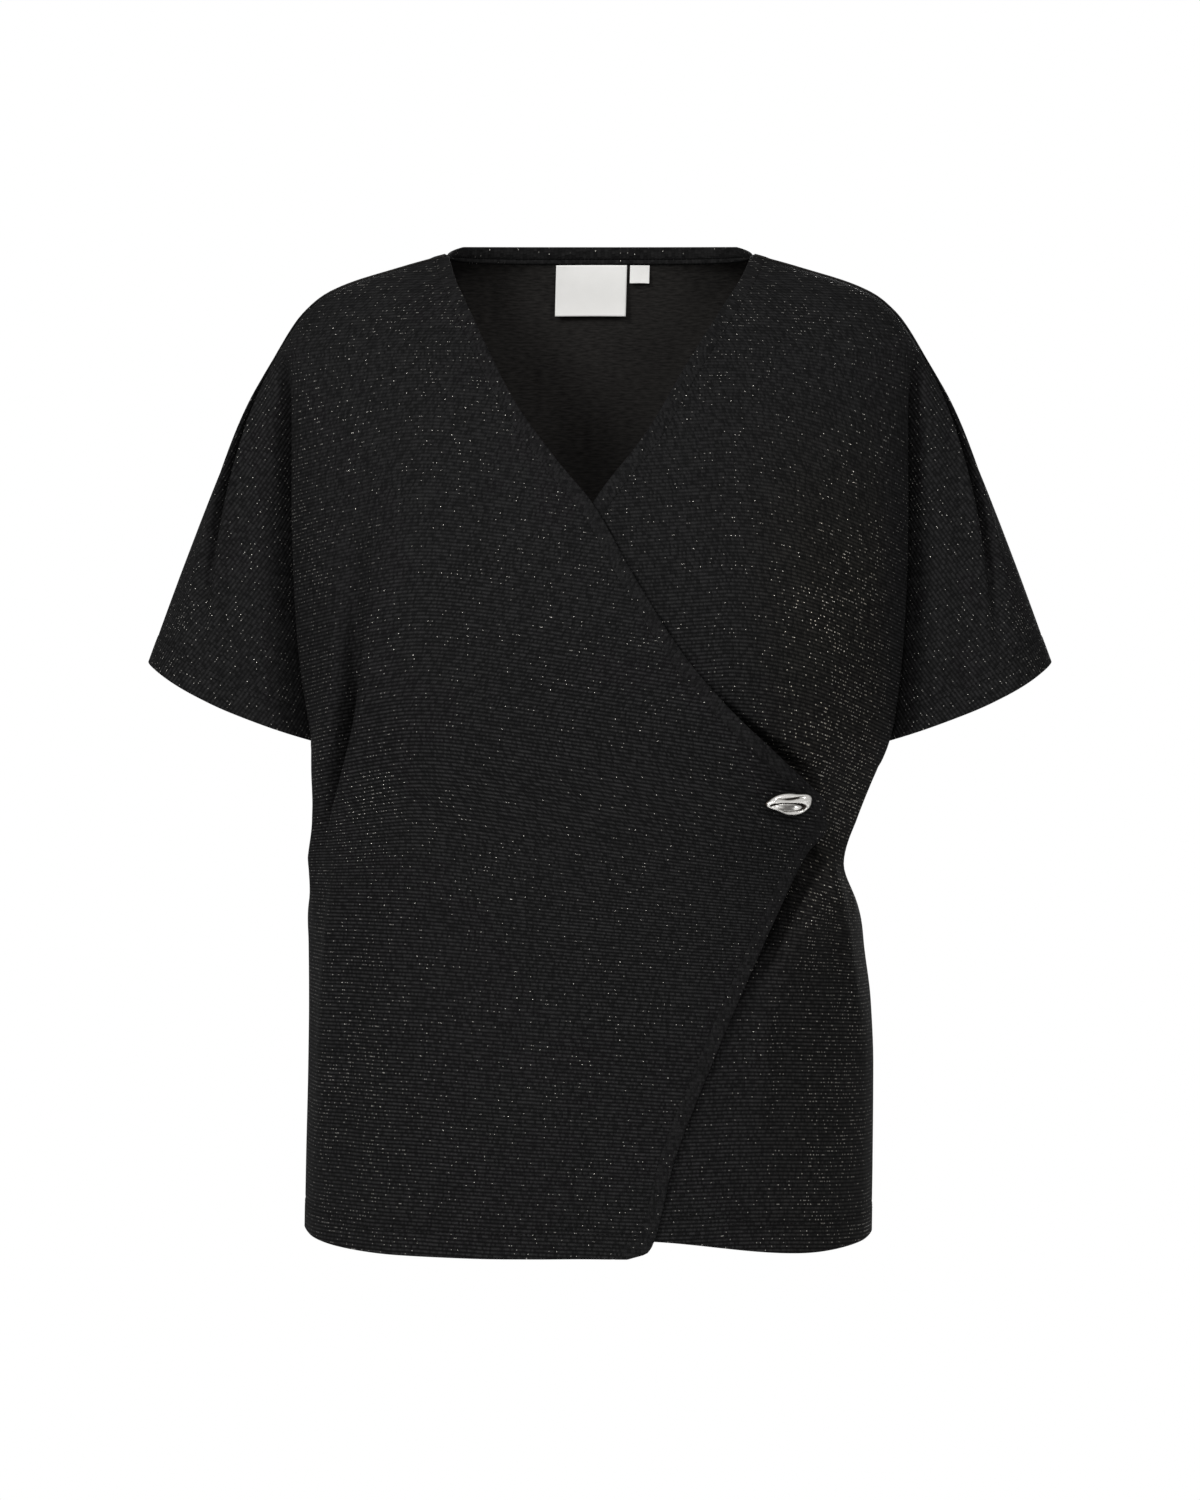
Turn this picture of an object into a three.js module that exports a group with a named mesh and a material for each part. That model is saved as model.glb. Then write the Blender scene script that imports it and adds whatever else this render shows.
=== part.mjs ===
// A short-sleeved wrap top in knitted cloth, hollow and filled out as if it were worn.
// Millimetres. +Z is up, the front faces -Y, and +X is the wearer's left.
// The origin is level with the top of the shoulder seams, midway between them, where the shoulders hold it.
// "down" is a distance below the origin, and "out" a distance from the middle towards the piece's own side.

import * as THREE from "three";

// Cloth and seams
const CLOTH = 1.5; // wall of the knit
const SEAM_GAP = 0.3; // between two pieces that are sewn together
const LAP = 3.2; // how far the outer front lies outside the inner one
const RIGHT = -1; // the wearer's right, where x is below 0
const LEFT = 1;
const FRONT = -1; // the front faces -Y
const BACK = 1;

// Levels of the garment
const SHOULDER_FOLD = 73; // where the fold of cloth at each arm begins
const UNDERARM = 343; // the fold's edge level with the underarm
const CUFF_TIP = 288; // the outer end of the cuff
const SIDE_CLOSED = 480; // where the underarm hollow has run out into the side
const HEM = 690;

// The shoulder seam and the top seam of the sleeve, seen from the front
const TOP_SEAM = [
  { down: 4.5, out: 107.5, y: 0 },
  { down: 9.8, out: 127.5, y: 0.5 },
  { down: 14, out: 142, y: 1 },
  { down: 22.4, out: 170, y: 2 },
  { down: 27, out: 182, y: 2.5 },
  { down: 32, out: 192, y: 3 },
  { down: 38, out: 200, y: 3.5 },
  { down: 49, out: 210.5, y: 4 },
  { down: 73, out: 225.5, y: 4 },
  { down: 105, out: 244, y: 4 },
  { down: 147, out: 262.5, y: 4 },
  { down: 217, out: 290, y: 5 },
  { down: 288, out: 316, y: 5 },
];

// Half widths of the body on each side: its front fold edge above the underarm, and its side below
const WIDTH = [
  { down: 73, right: 214, left: 214 },
  { down: 119, right: 213, left: 213 },
  { down: 175, right: 213, left: 213 },
  { down: 231, right: 211, left: 211.5 },
  { down: 273, right: 208, left: 209 },
  { down: 315, right: 203, left: 205 },
  { down: 343, right: 199, left: 199.5 },
  { down: 371, right: 200.5, left: 189 },
  { down: 399, right: 204, left: 180 },
  { down: 427, right: 207.5, left: 172.5 },
  { down: 455, right: 206.5, left: 182.5 },
  { down: 483, right: 204, left: 184.5 },
  { down: 525, right: 203.7, left: 189.5 },
  { down: 570, right: 204.2, left: 191.3 },
  { down: 640, right: 205.7, left: 190.8 },
  { down: 690, right: 206.5, left: 190 },
];

// How far the middle of the front and of the back stand from the shoulder line
const DEPTH = [
  { down: 0, front: 6, back: 71 },
  { down: 14, front: 22, back: 76 },
  { down: 36, front: 42, back: 85 },
  { down: 70, front: 68, back: 96 },
  { down: 110, front: 93, back: 107 },
  { down: 150, front: 109, back: 114 },
  { down: 185, front: 119, back: 119 },
  { down: 235, front: 131, back: 121 },
  { down: 290, front: 139, back: 119 },
  { down: 343, front: 141, back: 114 },
  { down: 430, front: 138, back: 110 },
  { down: 560, front: 139, back: 117 },
  { down: 690, front: 142, back: 125 },
];
const SQUARENESS = 2.3; // power of the rounded section: 2 is an ellipse

// Free edge of the outer front: neckline, wrap edge, buttoned corner, slanting edge, hem corner.
// x is above 0 on the wearer's left.
const OUTER_EDGE = [
  { down: 3, x: -107 },
  { down: 23, x: -101 },
  { down: 39, x: -94 },
  { down: 74, x: -78 },
  { down: 116, x: -57 },
  { down: 156, x: -29 },
  { down: 185, x: -5.5 },
  { down: 232, x: 21 },
  { down: 285, x: 54 },
  { down: 329, x: 91 },
  { down: 354, x: 117 },
  { down: 377, x: 143 },
  { down: 384, x: 150 },
  { down: 403, x: 151.5 },
  { down: 418, x: 139.5 },
  { down: 442, x: 127 },
  { down: 491, x: 104 },
  { down: 558, x: 75 },
  { down: 628, x: 48 },
  { down: 678, x: 35.5 },
  { down: 686, x: 31 },
  { down: 690, x: 18 },
];

// Free edge of the inner front, whose lower part lies hidden under the outer one
const INNER_EDGE = [
  { down: 3, x: 107 },
  { down: 23, x: 98 },
  { down: 42, x: 86.5 },
  { down: 85, x: 60.6 },
  { down: 134, x: 32.6 },
  { down: 175, x: 1.4 },
  { down: 232, x: -34 },
  { down: 285, x: -64 },
  { down: 343, x: -104 },
  { down: 384, x: -134 },
  { down: 403, x: -135 },
  { down: 442, x: -114 },
  { down: 491, x: -92 },
  { down: 558, x: -64 },
  { down: 628, x: -38 },
  { down: 690, x: -20 },
];

// The fold of spare cloth between the body and each sleeve
const EDGE_ANGLE = THREE.MathUtils.degToRad(72); // where the section turns in, from straight ahead
const VALLEY_SHARE = 0.45; // where the fold's bottom starts, from that edge to the top seam
const FOLD_IN = 40; // how far the bottom lies inside the edge at the underarm
const FOLD_GROWTH = 0.8; // power by which the fold deepens from shoulder to underarm
const FOLD_DROP = 9; // how much lower the underarm is than the fold's edge
const SLEEVE_FRONT = 50; // how far the sleeve swells to the front at the cuff
const SLEEVE_BACK = 46;
const SLEEVE_GROWTH = 0.7;
const CUFF_BOW = 1.05; // how far the cuff's line rises early on its way to the tip
const CUFF_BACK_LIFT = 7; // how much higher the cuff runs at the back

// Neck band and labels
const BAND_THICK = 2.4;
const BAND_END = 2.2; // height of the band's top above the origin beside the neck
const BAND_RISE = 7.5; // how much higher it stands at the middle of the back
const BAND_REACH = THREE.MathUtils.degToRad(86);
const BAND_ROUND = THREE.MathUtils.degToRad(20); // how far from its end the band's top comes down
const NECK_RISE = 2.5; // how much higher the back's top edge is in its middle
const LABEL = { low: -31.5, high: 19.5, drop: 33, thick: 1, lean: 2.2, tilt: 0.03 };
const SIZE_TAG = { low: 21.8, high: 35.8, drop: 11.5, thick: 1, lean: 1, tilt: 0.03 };

// Button
const BUTTON = { x: 122.5, down: 385, length: 36, height: 15.5, thick: 7 };
const SHANK = { radius: 3, length: 2.6 };

const mix = (a, b, t) => a + (b - a) * t;
const clamp01 = (t) => Math.min(1, Math.max(0, t));
// 0 up to the first value, 1 from the second, and smooth between them.
const ease = (from, to, at) => {
  const t = clamp01((at - from) / (to - from));
  return t * t * (3 - 2 * t);
};
// A smooth hump of height 1 round a middle.
const hump = (middle, half, at) => Math.exp(-(((at - middle) / half) ** 2));

// Reads a column of a table at a place between its rows, on a curve that never overshoots them.
function read(rows, key, column, at) {
  const last = rows.length - 1;
  if (at <= rows[0][key]) return rows[0][column];
  if (at >= rows[last][key]) return rows[last][column];
  const slope = (j) => (rows[j + 1][column] - rows[j][column]) / (rows[j + 1][key] - rows[j][key]);
  const tangent = (j) => {
    if (j === 0 || j === last) return slope(Math.min(j, last - 1));
    const before = slope(j - 1);
    const after = slope(j);
    return before * after <= 0 ? 0 : (2 * before * after) / (before + after);
  };
  let i = 0;
  while (rows[i + 1][key] < at) i += 1;
  const h = rows[i + 1][key] - rows[i][key];
  const t = (at - rows[i][key]) / h;
  const a = rows[i][column];
  const b = rows[i + 1][column];
  return (
    a * (1 + 2 * t) * (1 - t) ** 2 +
    tangent(i) * h * t * (1 - t) ** 2 +
    b * t * t * (3 - 2 * t) -
    tangent(i + 1) * h * t * t * (1 - t)
  );
}

const sideName = (side) => (side === RIGHT ? "right" : "left");

// Half width of the body's rounded section on one side.
function halfWidth(side, down) {
  if (down <= SHOULDER_FOLD) return read(TOP_SEAM, "down", "out", down);
  const reach = mix(Math.sin(EDGE_ANGLE), 1, ease(UNDERARM, SIDE_CLOSED, down));
  return read(WIDTH, "down", sideName(side), down) / reach;
}

const depth = (face, down) => read(DEPTH, "down", face === FRONT ? "front" : "back", down);

// How deep the section stands at a share of its half width.
const bow = (share) => Math.max(0, 1 - Math.abs(share) ** SQUARENESS) ** (1 / SQUARENESS);

// A point of the body's smooth form. The angle is 0 in the middle and a right angle at the wearer's left.
function bodyForm(face, angle, down) {
  const share = Math.sin(angle);
  const side = angle < 0 ? RIGHT : LEFT;
  const seam = read(TOP_SEAM, "down", "y", down) * Math.abs(share) ** 8;
  return new THREE.Vector3(
    halfWidth(side, down) * share,
    face * depth(face, down) * bow(share) + seam,
    -down,
  );
}

// The outward direction of the body's smooth form.
function bodyNormal(face, angle, down) {
  const step = 0.01;
  const across = bodyForm(face, angle + step, down).sub(bodyForm(face, angle - step, down));
  const along = bodyForm(face, angle, down + 1).sub(bodyForm(face, angle, down - 1));
  return across.cross(along).multiplyScalar(face).normalize();
}

// The drape of the front on the wearer's right: a ridge with a trough on its outer side. It runs down
// one column of the outer front, at an angle from straight ahead, into the body's side.
const DRAPE = [
  { down: 150, angle: 42, deep: 0 },
  { down: 190, angle: 43, deep: 1 },
  { down: 225, angle: 45, deep: 4 },
  { down: 270, angle: 47, deep: 7 },
  { down: 315, angle: 50.5, deep: 9 },
  { down: 362, angle: 56, deep: 8 },
  { down: 396, angle: 60, deep: 5 },
  { down: 430, angle: 62, deep: 1 },
  { down: 460, angle: 62, deep: 0 },
];
const DRAPE_WIDE = THREE.MathUtils.degToRad(5.5);

// A crease: a low lip, and a trough beyond it. The argument is the distance across, in widths.
const crease = (u) => 0.35 * hump(-0.6, 0.8, u) - hump(1, 0.7, u);

// Long shallow waves down the back below the shoulder blades.
const BACK_WAVES = 3.5;
const backDrape = (x, down) =>
  BACK_WAVES * ease(150, 420, down) * Math.cos((x + 0.06 * down) / 27) * (1 - ease(120, 190, Math.abs(x)));

// The outer front's free edge lifts a little above the button.
const EDGE_LIFT = 5;
const EDGE_LIFT_WIDE = 26;
const edgeLift = (fromEdge, down) =>
  EDGE_LIFT * hump(346, 22, down) * Math.exp(-fromEdge / EDGE_LIFT_WIDE);

// Where the outer front lies over the inner one it stands further out, all the way to its free edge.
const lapShare = (towardsSide, down) => ease(90, 160, down) * (1 - ease(138, 168, towardsSide));

// The hem's height at a place across, for each piece.
const SIDE_HEM_LIFT = { right: 7.5, left: 4.5 };
const INNER_HEM_LIFT = 12;
function hemLift(kind, x) {
  const side = x < 0 ? RIGHT : LEFT;
  const atSide = SIDE_HEM_LIFT[sideName(side)] * Math.min(1, Math.abs(x) / halfWidth(side, HEM)) ** 10;
  return kind === "inner" ? atSide + INNER_HEM_LIFT * ease(150, 20, x) : atSide;
}

// Rows of every panel, from the neck to the hem. The first group ends where the arm folds begin,
// the second at the underarm.
const ROWS = [
  4.5, 13, 22, 30, 39, 54, 73, //
  95, 122, 152, 185, 220, 256, 290, 319, 343, //
  356, 370, 384, 394, 404, 420, 444, 474, 512, 560, 610, 655, 680, 690,
];
const ARM_ROW = ROWS.indexOf(SHOULDER_FOLD);
const CUFF_ROW = ROWS.indexOf(UNDERARM);

const WALL_COLUMNS = 4; // from the fold's edge to its bottom
const SLEEVE_COLUMNS = [0.1, 0.24, 0.38, 0.5, 0.6, 0.67, 0.74, 0.82, 0.91, 1];

// The second crease of each sleeve: the column it runs along, the share of the way up it lies at
// where the arm fold begins and at the cuff, its depth, and how far down the sleeve it is deepest.
const SLEEVE_CREASE = { column: 0.6, from: 0.765, to: 0.495, deep: 6, middle: 0.48, half: 0.27 };

const PANELS = {
  outer: { side: RIGHT, face: FRONT, edge: OUTER_EDGE, columns: 15, draped: 10 },
  inner: { side: LEFT, face: FRONT, edge: INNER_EDGE, columns: 13 },
  backRight: { side: RIGHT, face: BACK, columns: 10 },
  backLeft: { side: LEFT, face: BACK, columns: 10 },
};

// The angle of a panel's free edge, counted towards its own side.
function edgeAngle(panel, down) {
  if (!panel.edge) return 0;
  const x = read(panel.edge, "down", "x", down);
  const side = x < 0 ? RIGHT : LEFT;
  return Math.asin(Math.max(-1, Math.min(1, x / halfWidth(side, down)))) * panel.side;
}

const drapeAngle = (down) => THREE.MathUtils.degToRad(read(DRAPE, "down", "angle", down));

// The angles of a panel's columns in one row.
function columnAngles(panel, down) {
  const start = edgeAngle(panel, down);
  const turn = turnAngle(panel, down);
  const even = ease(39, 152, down);
  const angles = [];
  for (let c = 0; c <= panel.columns; c += 1) {
    const plain = mix(start, turn, c / panel.columns);
    const kept = panel.draped ?? panel.columns;
    const along =
      c <= kept
        ? mix(start, drapeAngle(down), c / kept)
        : mix(drapeAngle(down), turn, (c - kept) / (panel.columns - kept));
    angles.push(panel.draped ? mix(plain, along, even) : plain);
  }
  return angles;
}

// The angle at which a panel's section turns in towards the arm fold.
function turnAngle(panel, down) {
  if (down >= SHOULDER_FOLD) return EDGE_ANGLE;
  const low = edgeAngle(panel, SHOULDER_FOLD);
  const share = (EDGE_ANGLE - low) / (Math.PI / 2 - low);
  return mix(edgeAngle(panel, down), Math.PI / 2, share);
}

// A finished point of the body, counted by its angle towards the panel's own side.
function bodyPoint(kind, angle, down) {
  const panel = PANELS[kind];
  const { side, face } = panel;
  const turned = angle * side;
  const point = bodyForm(face, turned, down);
  const normal = bodyNormal(face, turned, down);
  let proud = face === BACK ? backDrape(point.x, down) : 0;
  if (kind === "outer") {
    const fromEdge = Math.abs(read(OUTER_EDGE, "down", "x", down) - point.x);
    proud += LAP * lapShare(-point.x, down) + edgeLift(fromEdge, down);
    proud += read(DRAPE, "down", "deep", down) * crease((angle - drapeAngle(down)) / DRAPE_WIDE);
  }
  point.addScaledVector(normal, proud);
  point.z += ease(560, HEM, down) * hemLift(kind, point.x);
  if (face === BACK) point.z += NECK_RISE * Math.cos(turned) ** 2 * (1 - ease(4.5, 60, down));
  return point;
}

// One row of a panel: from its free edge or the middle of the back, to the arm fold's edge,
// to the fold's bottom, and on the sleeve to the top seam.
function rowOf(kind, index) {
  const panel = PANELS[kind];
  const { side, face } = panel;
  const down = ROWS[index];
  const turn = turnAngle(panel, down);
  const row = columnAngles(panel, down).map((angle) => bodyPoint(kind, angle, down));

  const grown = clamp01((down - SHOULDER_FOLD) / (UNDERARM - SHOULDER_FOLD));
  const notch = grown ** FOLD_GROWTH;
  const closed = ease(UNDERARM, SIDE_CLOSED, down);
  const valleyAngle = mix(turn, Math.PI / 2, VALLEY_SHARE);
  const edge = row[row.length - 1];
  const rim = bodyPoint(kind, valleyAngle, down);
  const flank = bodyPoint(kind, Math.PI / 2, down);
  const valley = new THREE.Vector3(
    side * (Math.abs(rim.x) - FOLD_IN * notch),
    mix(rim.y, 0, notch),
    rim.z - FOLD_DROP * grown,
  );
  if (down > UNDERARM) {
    valley.set(
      mix(side * (Math.abs(rim.x) - FOLD_IN), flank.x, closed),
      0,
      flank.z - FOLD_DROP * (1 - closed),
    );
  }

  // The wall of the fold leaves the body's section smoothly and arrives along the fold.
  const chord = valley.clone().sub(edge);
  const leaving = edge.clone().sub(bodyPoint(kind, turn - 0.04, down)).normalize();
  const straight = chord.clone().normalize();
  const sideways = new THREE.Vector3(0, -face, 0);
  const arriving = down > UNDERARM ? straight.lerp(sideways, closed).normalize() : straight;
  const pull = chord.length() * 0.6;
  for (let w = 1; w <= WALL_COLUMNS; w += 1) {
    const t = w / WALL_COLUMNS;
    row.push(
      new THREE.Vector3()
        .addScaledVector(edge, (1 + 2 * t) * (1 - t) ** 2)
        .addScaledVector(leaving, pull * t * (1 - t) ** 2)
        .addScaledVector(valley, t * t * (3 - 2 * t))
        .addScaledVector(arriving, -pull * t * t * (1 - t)),
    );
  }
  if (index > CUFF_ROW) return row;

  const topDown = down <= SHOULDER_FOLD ? down : mix(SHOULDER_FOLD, CUFF_TIP, grown);
  const top = new THREE.Vector3(
    side * read(TOP_SEAM, "down", "out", topDown),
    read(TOP_SEAM, "down", "y", topDown),
    -topDown,
  );
  const swell = (face === FRONT ? SLEEVE_FRONT : SLEEVE_BACK) * grown ** SLEEVE_GROWTH;
  const bend = mix(SLEEVE_CREASE.from, SLEEVE_CREASE.to, grown);
  for (const column of SLEEVE_COLUMNS) {
    const past = (column - SLEEVE_CREASE.column) / (1 - SLEEVE_CREASE.column);
    const share = past > 0 ? mix(bend, 1, past) : (bend * column) / SLEEVE_CREASE.column;
    const rise = share + CUFF_BOW * share ** 3 * (1 - share);
    const creased =
      SLEEVE_CREASE.deep *
      hump(SLEEVE_CREASE.middle, SLEEVE_CREASE.half, grown) *
      crease((column - SLEEVE_CREASE.column) / 0.09);
    const back = face === BACK ? CUFF_BACK_LIFT * grown * Math.sin(Math.PI * share) : 0;
    row.push(
      new THREE.Vector3(
        mix(valley.x, top.x, Math.sin((Math.PI / 2) * share)) + side * 0.4 * creased,
        mix(valley.y, top.y, share) + face * (swell * Math.sin(Math.PI * share) + 0.9 * creased),
        mix(valley.z, top.z, rise) + back,
      ),
    );
  }
  return row;
}

const gridOf = (kind) => ROWS.map((_, index) => rowOf(kind, index));
const GRIDS = Object.fromEntries(Object.keys(PANELS).map((kind) => [kind, gridOf(kind)]));
const PARTNER = { outer: "backRight", inner: "backLeft", backRight: "outer", backLeft: "inner" };
const MIRROR = { backRight: "backLeft", backLeft: "backRight" };

const bodyColumns = (kind) => PANELS[kind].columns + WALL_COLUMNS;
const topColumn = (kind) => bodyColumns(kind) + SLEEVE_COLUMNS.length;

// The next point across, past a panel's own end into the piece that is sewn to it.
function neighbour(kind, row, column) {
  const line = GRIDS[kind][row];
  if (column >= 0 && column < line.length) return line[column];
  const beyond = column < 0 ? MIRROR[kind] : PARTNER[kind];
  if (!beyond) return line[Math.max(0, Math.min(line.length - 1, column))];
  const other = GRIDS[beyond][row];
  return column < 0 ? other[1] : other[other.length - 2];
}

// The outward direction at a point of a panel's grid.
function gridNormal(kind, row, column) {
  const { side, face } = PANELS[kind];
  const across = neighbour(kind, row, column + 1).clone().sub(neighbour(kind, row, column - 1));
  const grid = GRIDS[kind];
  const above = grid[Math.max(0, row - 1)][column];
  const below = (grid[row + 1] && grid[row + 1][column]) || grid[row][column];
  const along = below.clone().sub(above);
  return across.cross(along).multiplyScalar(side * face).normalize();
}

// A panel's wall as points of its outer side, points of its inner side, and triangles.
function panelSheet(kind) {
  const { side, face } = PANELS[kind];
  const grid = GRIDS[kind];
  const sheet = { outer: [], inner: [], faces: [] };
  const ids = grid.map((line, row) =>
    line.map((point, column) => {
      let normal = gridNormal(kind, row, column);
      const atSide = column === bodyColumns(kind) && row >= CUFF_ROW;
      const atTop = column === topColumn(kind);
      if (atSide) normal = new THREE.Vector3(side, 0, 0);
      const outer = point.clone();
      const inner = point.clone().addScaledVector(normal, -CLOTH);
      if (atSide || atTop) {
        outer.y += (face * SEAM_GAP) / 2;
        inner.y += (face * SEAM_GAP) / 2;
      }
      sheet.outer.push(outer);
      sheet.inner.push(inner);
      return sheet.outer.length - 1;
    }),
  );
  const turned = side * face < 0;
  for (let row = 0; row + 1 < grid.length; row += 1) {
    const count = Math.min(grid[row].length, grid[row + 1].length) - 1;
    for (let c = 0; c < count; c += 1) {
      const [a, b] = [ids[row][c], ids[row][c + 1]];
      const [d, e] = [ids[row + 1][c], ids[row + 1][c + 1]];
      const shortWay =
        sheet.outer[a].distanceTo(sheet.outer[e]) <= sheet.outer[b].distanceTo(sheet.outer[d]);
      const cells = shortWay ? [[a, d, e], [a, e, b]] : [[a, d, b], [b, d, e]];
      for (const [p, q, r] of cells) sheet.faces.push(turned ? [p, q, r] : [p, r, q]);
    }
  }
  return sheet;
}

// Joins two half sheets along the line where their points coincide.
function joinSheets(first, second) {
  const key = (p) => p.toArray().map((v) => Math.round(v * 1000)).join();
  const known = new Map(first.outer.map((p, i) => [key(p), i]));
  const joined = {
    outer: [...first.outer],
    inner: [...first.inner],
    faces: [...first.faces],
  };
  const place = second.outer.map((p, i) => {
    if (known.has(key(p))) return known.get(key(p));
    joined.outer.push(p);
    joined.inner.push(second.inner[i]);
    return joined.outer.length - 1;
  });
  for (const face of second.faces) joined.faces.push(face.map((i) => place[i]));
  return joined;
}

// A closed wall from a sheet: its two sides, and a strip all round its free edges.
function wallGeometry({ outer, inner, faces }) {
  const count = outer.length;
  const triangles = [];
  const edges = new Map();
  for (const [a, b, c] of faces) {
    triangles.push(a, b, c, count + a, count + c, count + b);
    for (const [p, q] of [[a, b], [b, c], [c, a]]) edges.set(`${p},${q}`, [p, q]);
  }
  for (const [p, q] of edges.values()) {
    if (edges.has(`${q},${p}`)) continue;
    triangles.push(q, p, count + p, q, count + p, count + q);
  }
  const geometry = new THREE.BufferGeometry();
  geometry.setFromPoints([...outer, ...inner]);
  geometry.setIndex(triangles);
  geometry.computeVertexNormals();
  return geometry;
}

// A wall over a regular grid of outer and inner points.
function gridWall(outerRows, innerRows) {
  const wide = outerRows[0].length;
  const faces = [];
  for (let r = 0; r + 1 < outerRows.length; r += 1) {
    for (let c = 0; c + 1 < wide; c += 1) {
      const a = r * wide + c;
      faces.push([a, a + wide, a + wide + 1], [a, a + wide + 1, a + 1]);
    }
  }
  return wallGeometry({ outer: outerRows.flat(), inner: innerRows.flat(), faces });
}

const KNIT = new THREE.MeshStandardMaterial({ color: 0x171617, roughness: 0.8, metalness: 0 });
const WOVEN_WHITE = new THREE.MeshStandardMaterial({ color: 0xe9e8e3, roughness: 0.7, metalness: 0 });
const SILVER = new THREE.MeshStandardMaterial({ color: 0xb9b5ad, roughness: 0.25, metalness: 1 });

function named(name, geometry, material) {
  const mesh = new THREE.Mesh(geometry, material);
  mesh.name = name;
  return mesh;
}

const outerFront = () => named("front_outer", wallGeometry(panelSheet("outer")), KNIT);
const innerFront = () => named("front_inner", wallGeometry(panelSheet("inner")), KNIT);
const back = () =>
  named("back", wallGeometry(joinSheets(panelSheet("backRight"), panelSheet("backLeft"))), KNIT);

// The folded band that stands on the back's top edge, from one shoulder seam to the other.
function neckBand() {
  const steps = 30;
  const heights = [0, 0.5, 0.85, 1];
  const outerRows = heights.map(() => []);
  const innerRows = heights.map(() => []);
  for (let i = 0; i <= steps; i += 1) {
    const angle = mix(-BAND_REACH, BAND_REACH, i / steps);
    const foot = bodyPoint(angle < 0 ? "backRight" : "backLeft", Math.abs(angle), ROWS[0]);
    const normal = bodyNormal(BACK, angle, ROWS[0] + 12).setZ(0).normalize();
    const bottom = foot.z + SEAM_GAP;
    const share = clamp01(foot.y / depth(BACK, ROWS[0]));
    const rounded = Math.sqrt(clamp01((BAND_REACH - Math.abs(angle)) / BAND_ROUND));
    const topZ = mix(bottom + 2, BAND_END + BAND_RISE * share, rounded);
    heights.forEach((height, h) => {
      const slim = height === 1 ? 0.3 : 0;
      const z = mix(bottom, topZ, height);
      const lean = -0.12 * (z - bottom);
      const outer = foot.clone().addScaledVector(normal, lean + 0.4 - slim);
      const inner = foot.clone().addScaledVector(normal, lean + 0.4 - BAND_THICK + slim);
      outerRows[h].push(outer.setZ(z));
      innerRows[h].push(inner.setZ(z));
    });
  }
  return named("neck_band", gridWall(outerRows, innerRows), KNIT);
}

// A label that hangs inside the back from the band's seam.
function hangingLabel(name, size) {
  const columns = 6;
  const rows = 5;
  const nearRows = [];
  const farRows = [];
  for (let r = 0; r <= rows; r += 1) {
    const down = ROWS[0] + 0.5 + (size.drop * r) / rows;
    const near = [];
    const far = [];
    for (let c = 0; c <= columns; c += 1) {
      const x = mix(size.low, size.high, c / columns) - size.tilt * (down - ROWS[0]);
      const kind = x < 0 ? "backRight" : "backLeft";
      const angle = Math.asin(Math.abs(x) / halfWidth(x < 0 ? RIGHT : LEFT, down));
      const wall = bodyPoint(kind, angle, down);
      const normal = bodyNormal(BACK, x < 0 ? -angle : angle, down);
      const off = CLOTH + SEAM_GAP + (size.lean * r) / rows;
      far.push(wall.clone().addScaledVector(normal, -off));
      near.push(wall.clone().addScaledVector(normal, -off - size.thick));
    }
    farRows.push(far);
    nearRows.push(near);
  }
  return named(name, gridWall(nearRows, farRows), WOVEN_WHITE);
}

// The place of the button: a point on the outer front and the directions there.
function buttonPlace() {
  const angle = Math.asin(BUTTON.x / halfWidth(LEFT, BUTTON.down));
  const point = bodyPoint("outer", -angle, BUTTON.down);
  const normal = bodyNormal(FRONT, angle, BUTTON.down);
  const up = new THREE.Vector3(0, 0, 1).addScaledVector(normal, -normal.z).normalize();
  const along = up.clone().cross(normal).normalize();
  return { point, turn: new THREE.Matrix4().makeBasis(along, up, normal) };
}

// A cast metal pebble with a hollow along its face and a raised rim.
function buttonBody() {
  const geometry = new THREE.SphereGeometry(1, 28, 16);
  const points = geometry.getAttribute("position");
  for (let i = 0; i < points.count; i += 1) {
    const p = new THREE.Vector3().fromBufferAttribute(points, i);
    const taper = 1 - 0.18 * p.x * p.y + 0.1 * p.x;
    const hollow = 0.42 * hump(0, 0.55, p.x) * hump(-0.1 + 0.12 * p.x, 0.3, p.y);
    const x = (BUTTON.length / 2) * p.x;
    const y = (BUTTON.height / 2) * (p.y * taper + 0.08 * Math.sin(2.4 * p.x));
    const z = (BUTTON.thick / 2) * (p.z > 0 ? p.z * (1 - hollow) : p.z * 0.7);
    points.setXYZ(i, x, y, z);
  }
  geometry.deleteAttribute("uv");
  const mesh = named("button", geometry, SILVER);
  const { point, turn } = buttonPlace();
  mesh.setRotationFromMatrix(turn);
  const off = SEAM_GAP + SHANK.length + SEAM_GAP + BUTTON.thick * 0.35;
  mesh.position.copy(point).add(new THREE.Vector3(0, 0, off).applyMatrix4(turn));
  return mesh;
}

function buttonShank() {
  const geometry = new THREE.CylinderGeometry(SHANK.radius, SHANK.radius, SHANK.length, 20);
  geometry.rotateX(Math.PI / 2);
  const mesh = named("button_shank", geometry, SILVER);
  const { point, turn } = buttonPlace();
  mesh.setRotationFromMatrix(turn);
  const off = SEAM_GAP + SHANK.length / 2;
  mesh.position.copy(point).add(new THREE.Vector3(0, 0, off).applyMatrix4(turn));
  return mesh;
}

const top = new THREE.Group();
top.add(
  back(),
  innerFront(),
  outerFront(),
  neckBand(),
  hangingLabel("neck_label", LABEL),
  hangingLabel("size_tag", SIZE_TAG),
  buttonShank(),
  buttonBody(),
);

export default top;
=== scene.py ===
"""A short-sleeved wrap top in ribbed glitter knit, hollow and filled out as if worn.

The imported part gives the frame. Each cloth piece is a thin shell worked out with numpy from the
same sizes as its solid, on a finer grid, with its creases, turned edges and seams put in.
"""

import functools
import math

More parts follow.
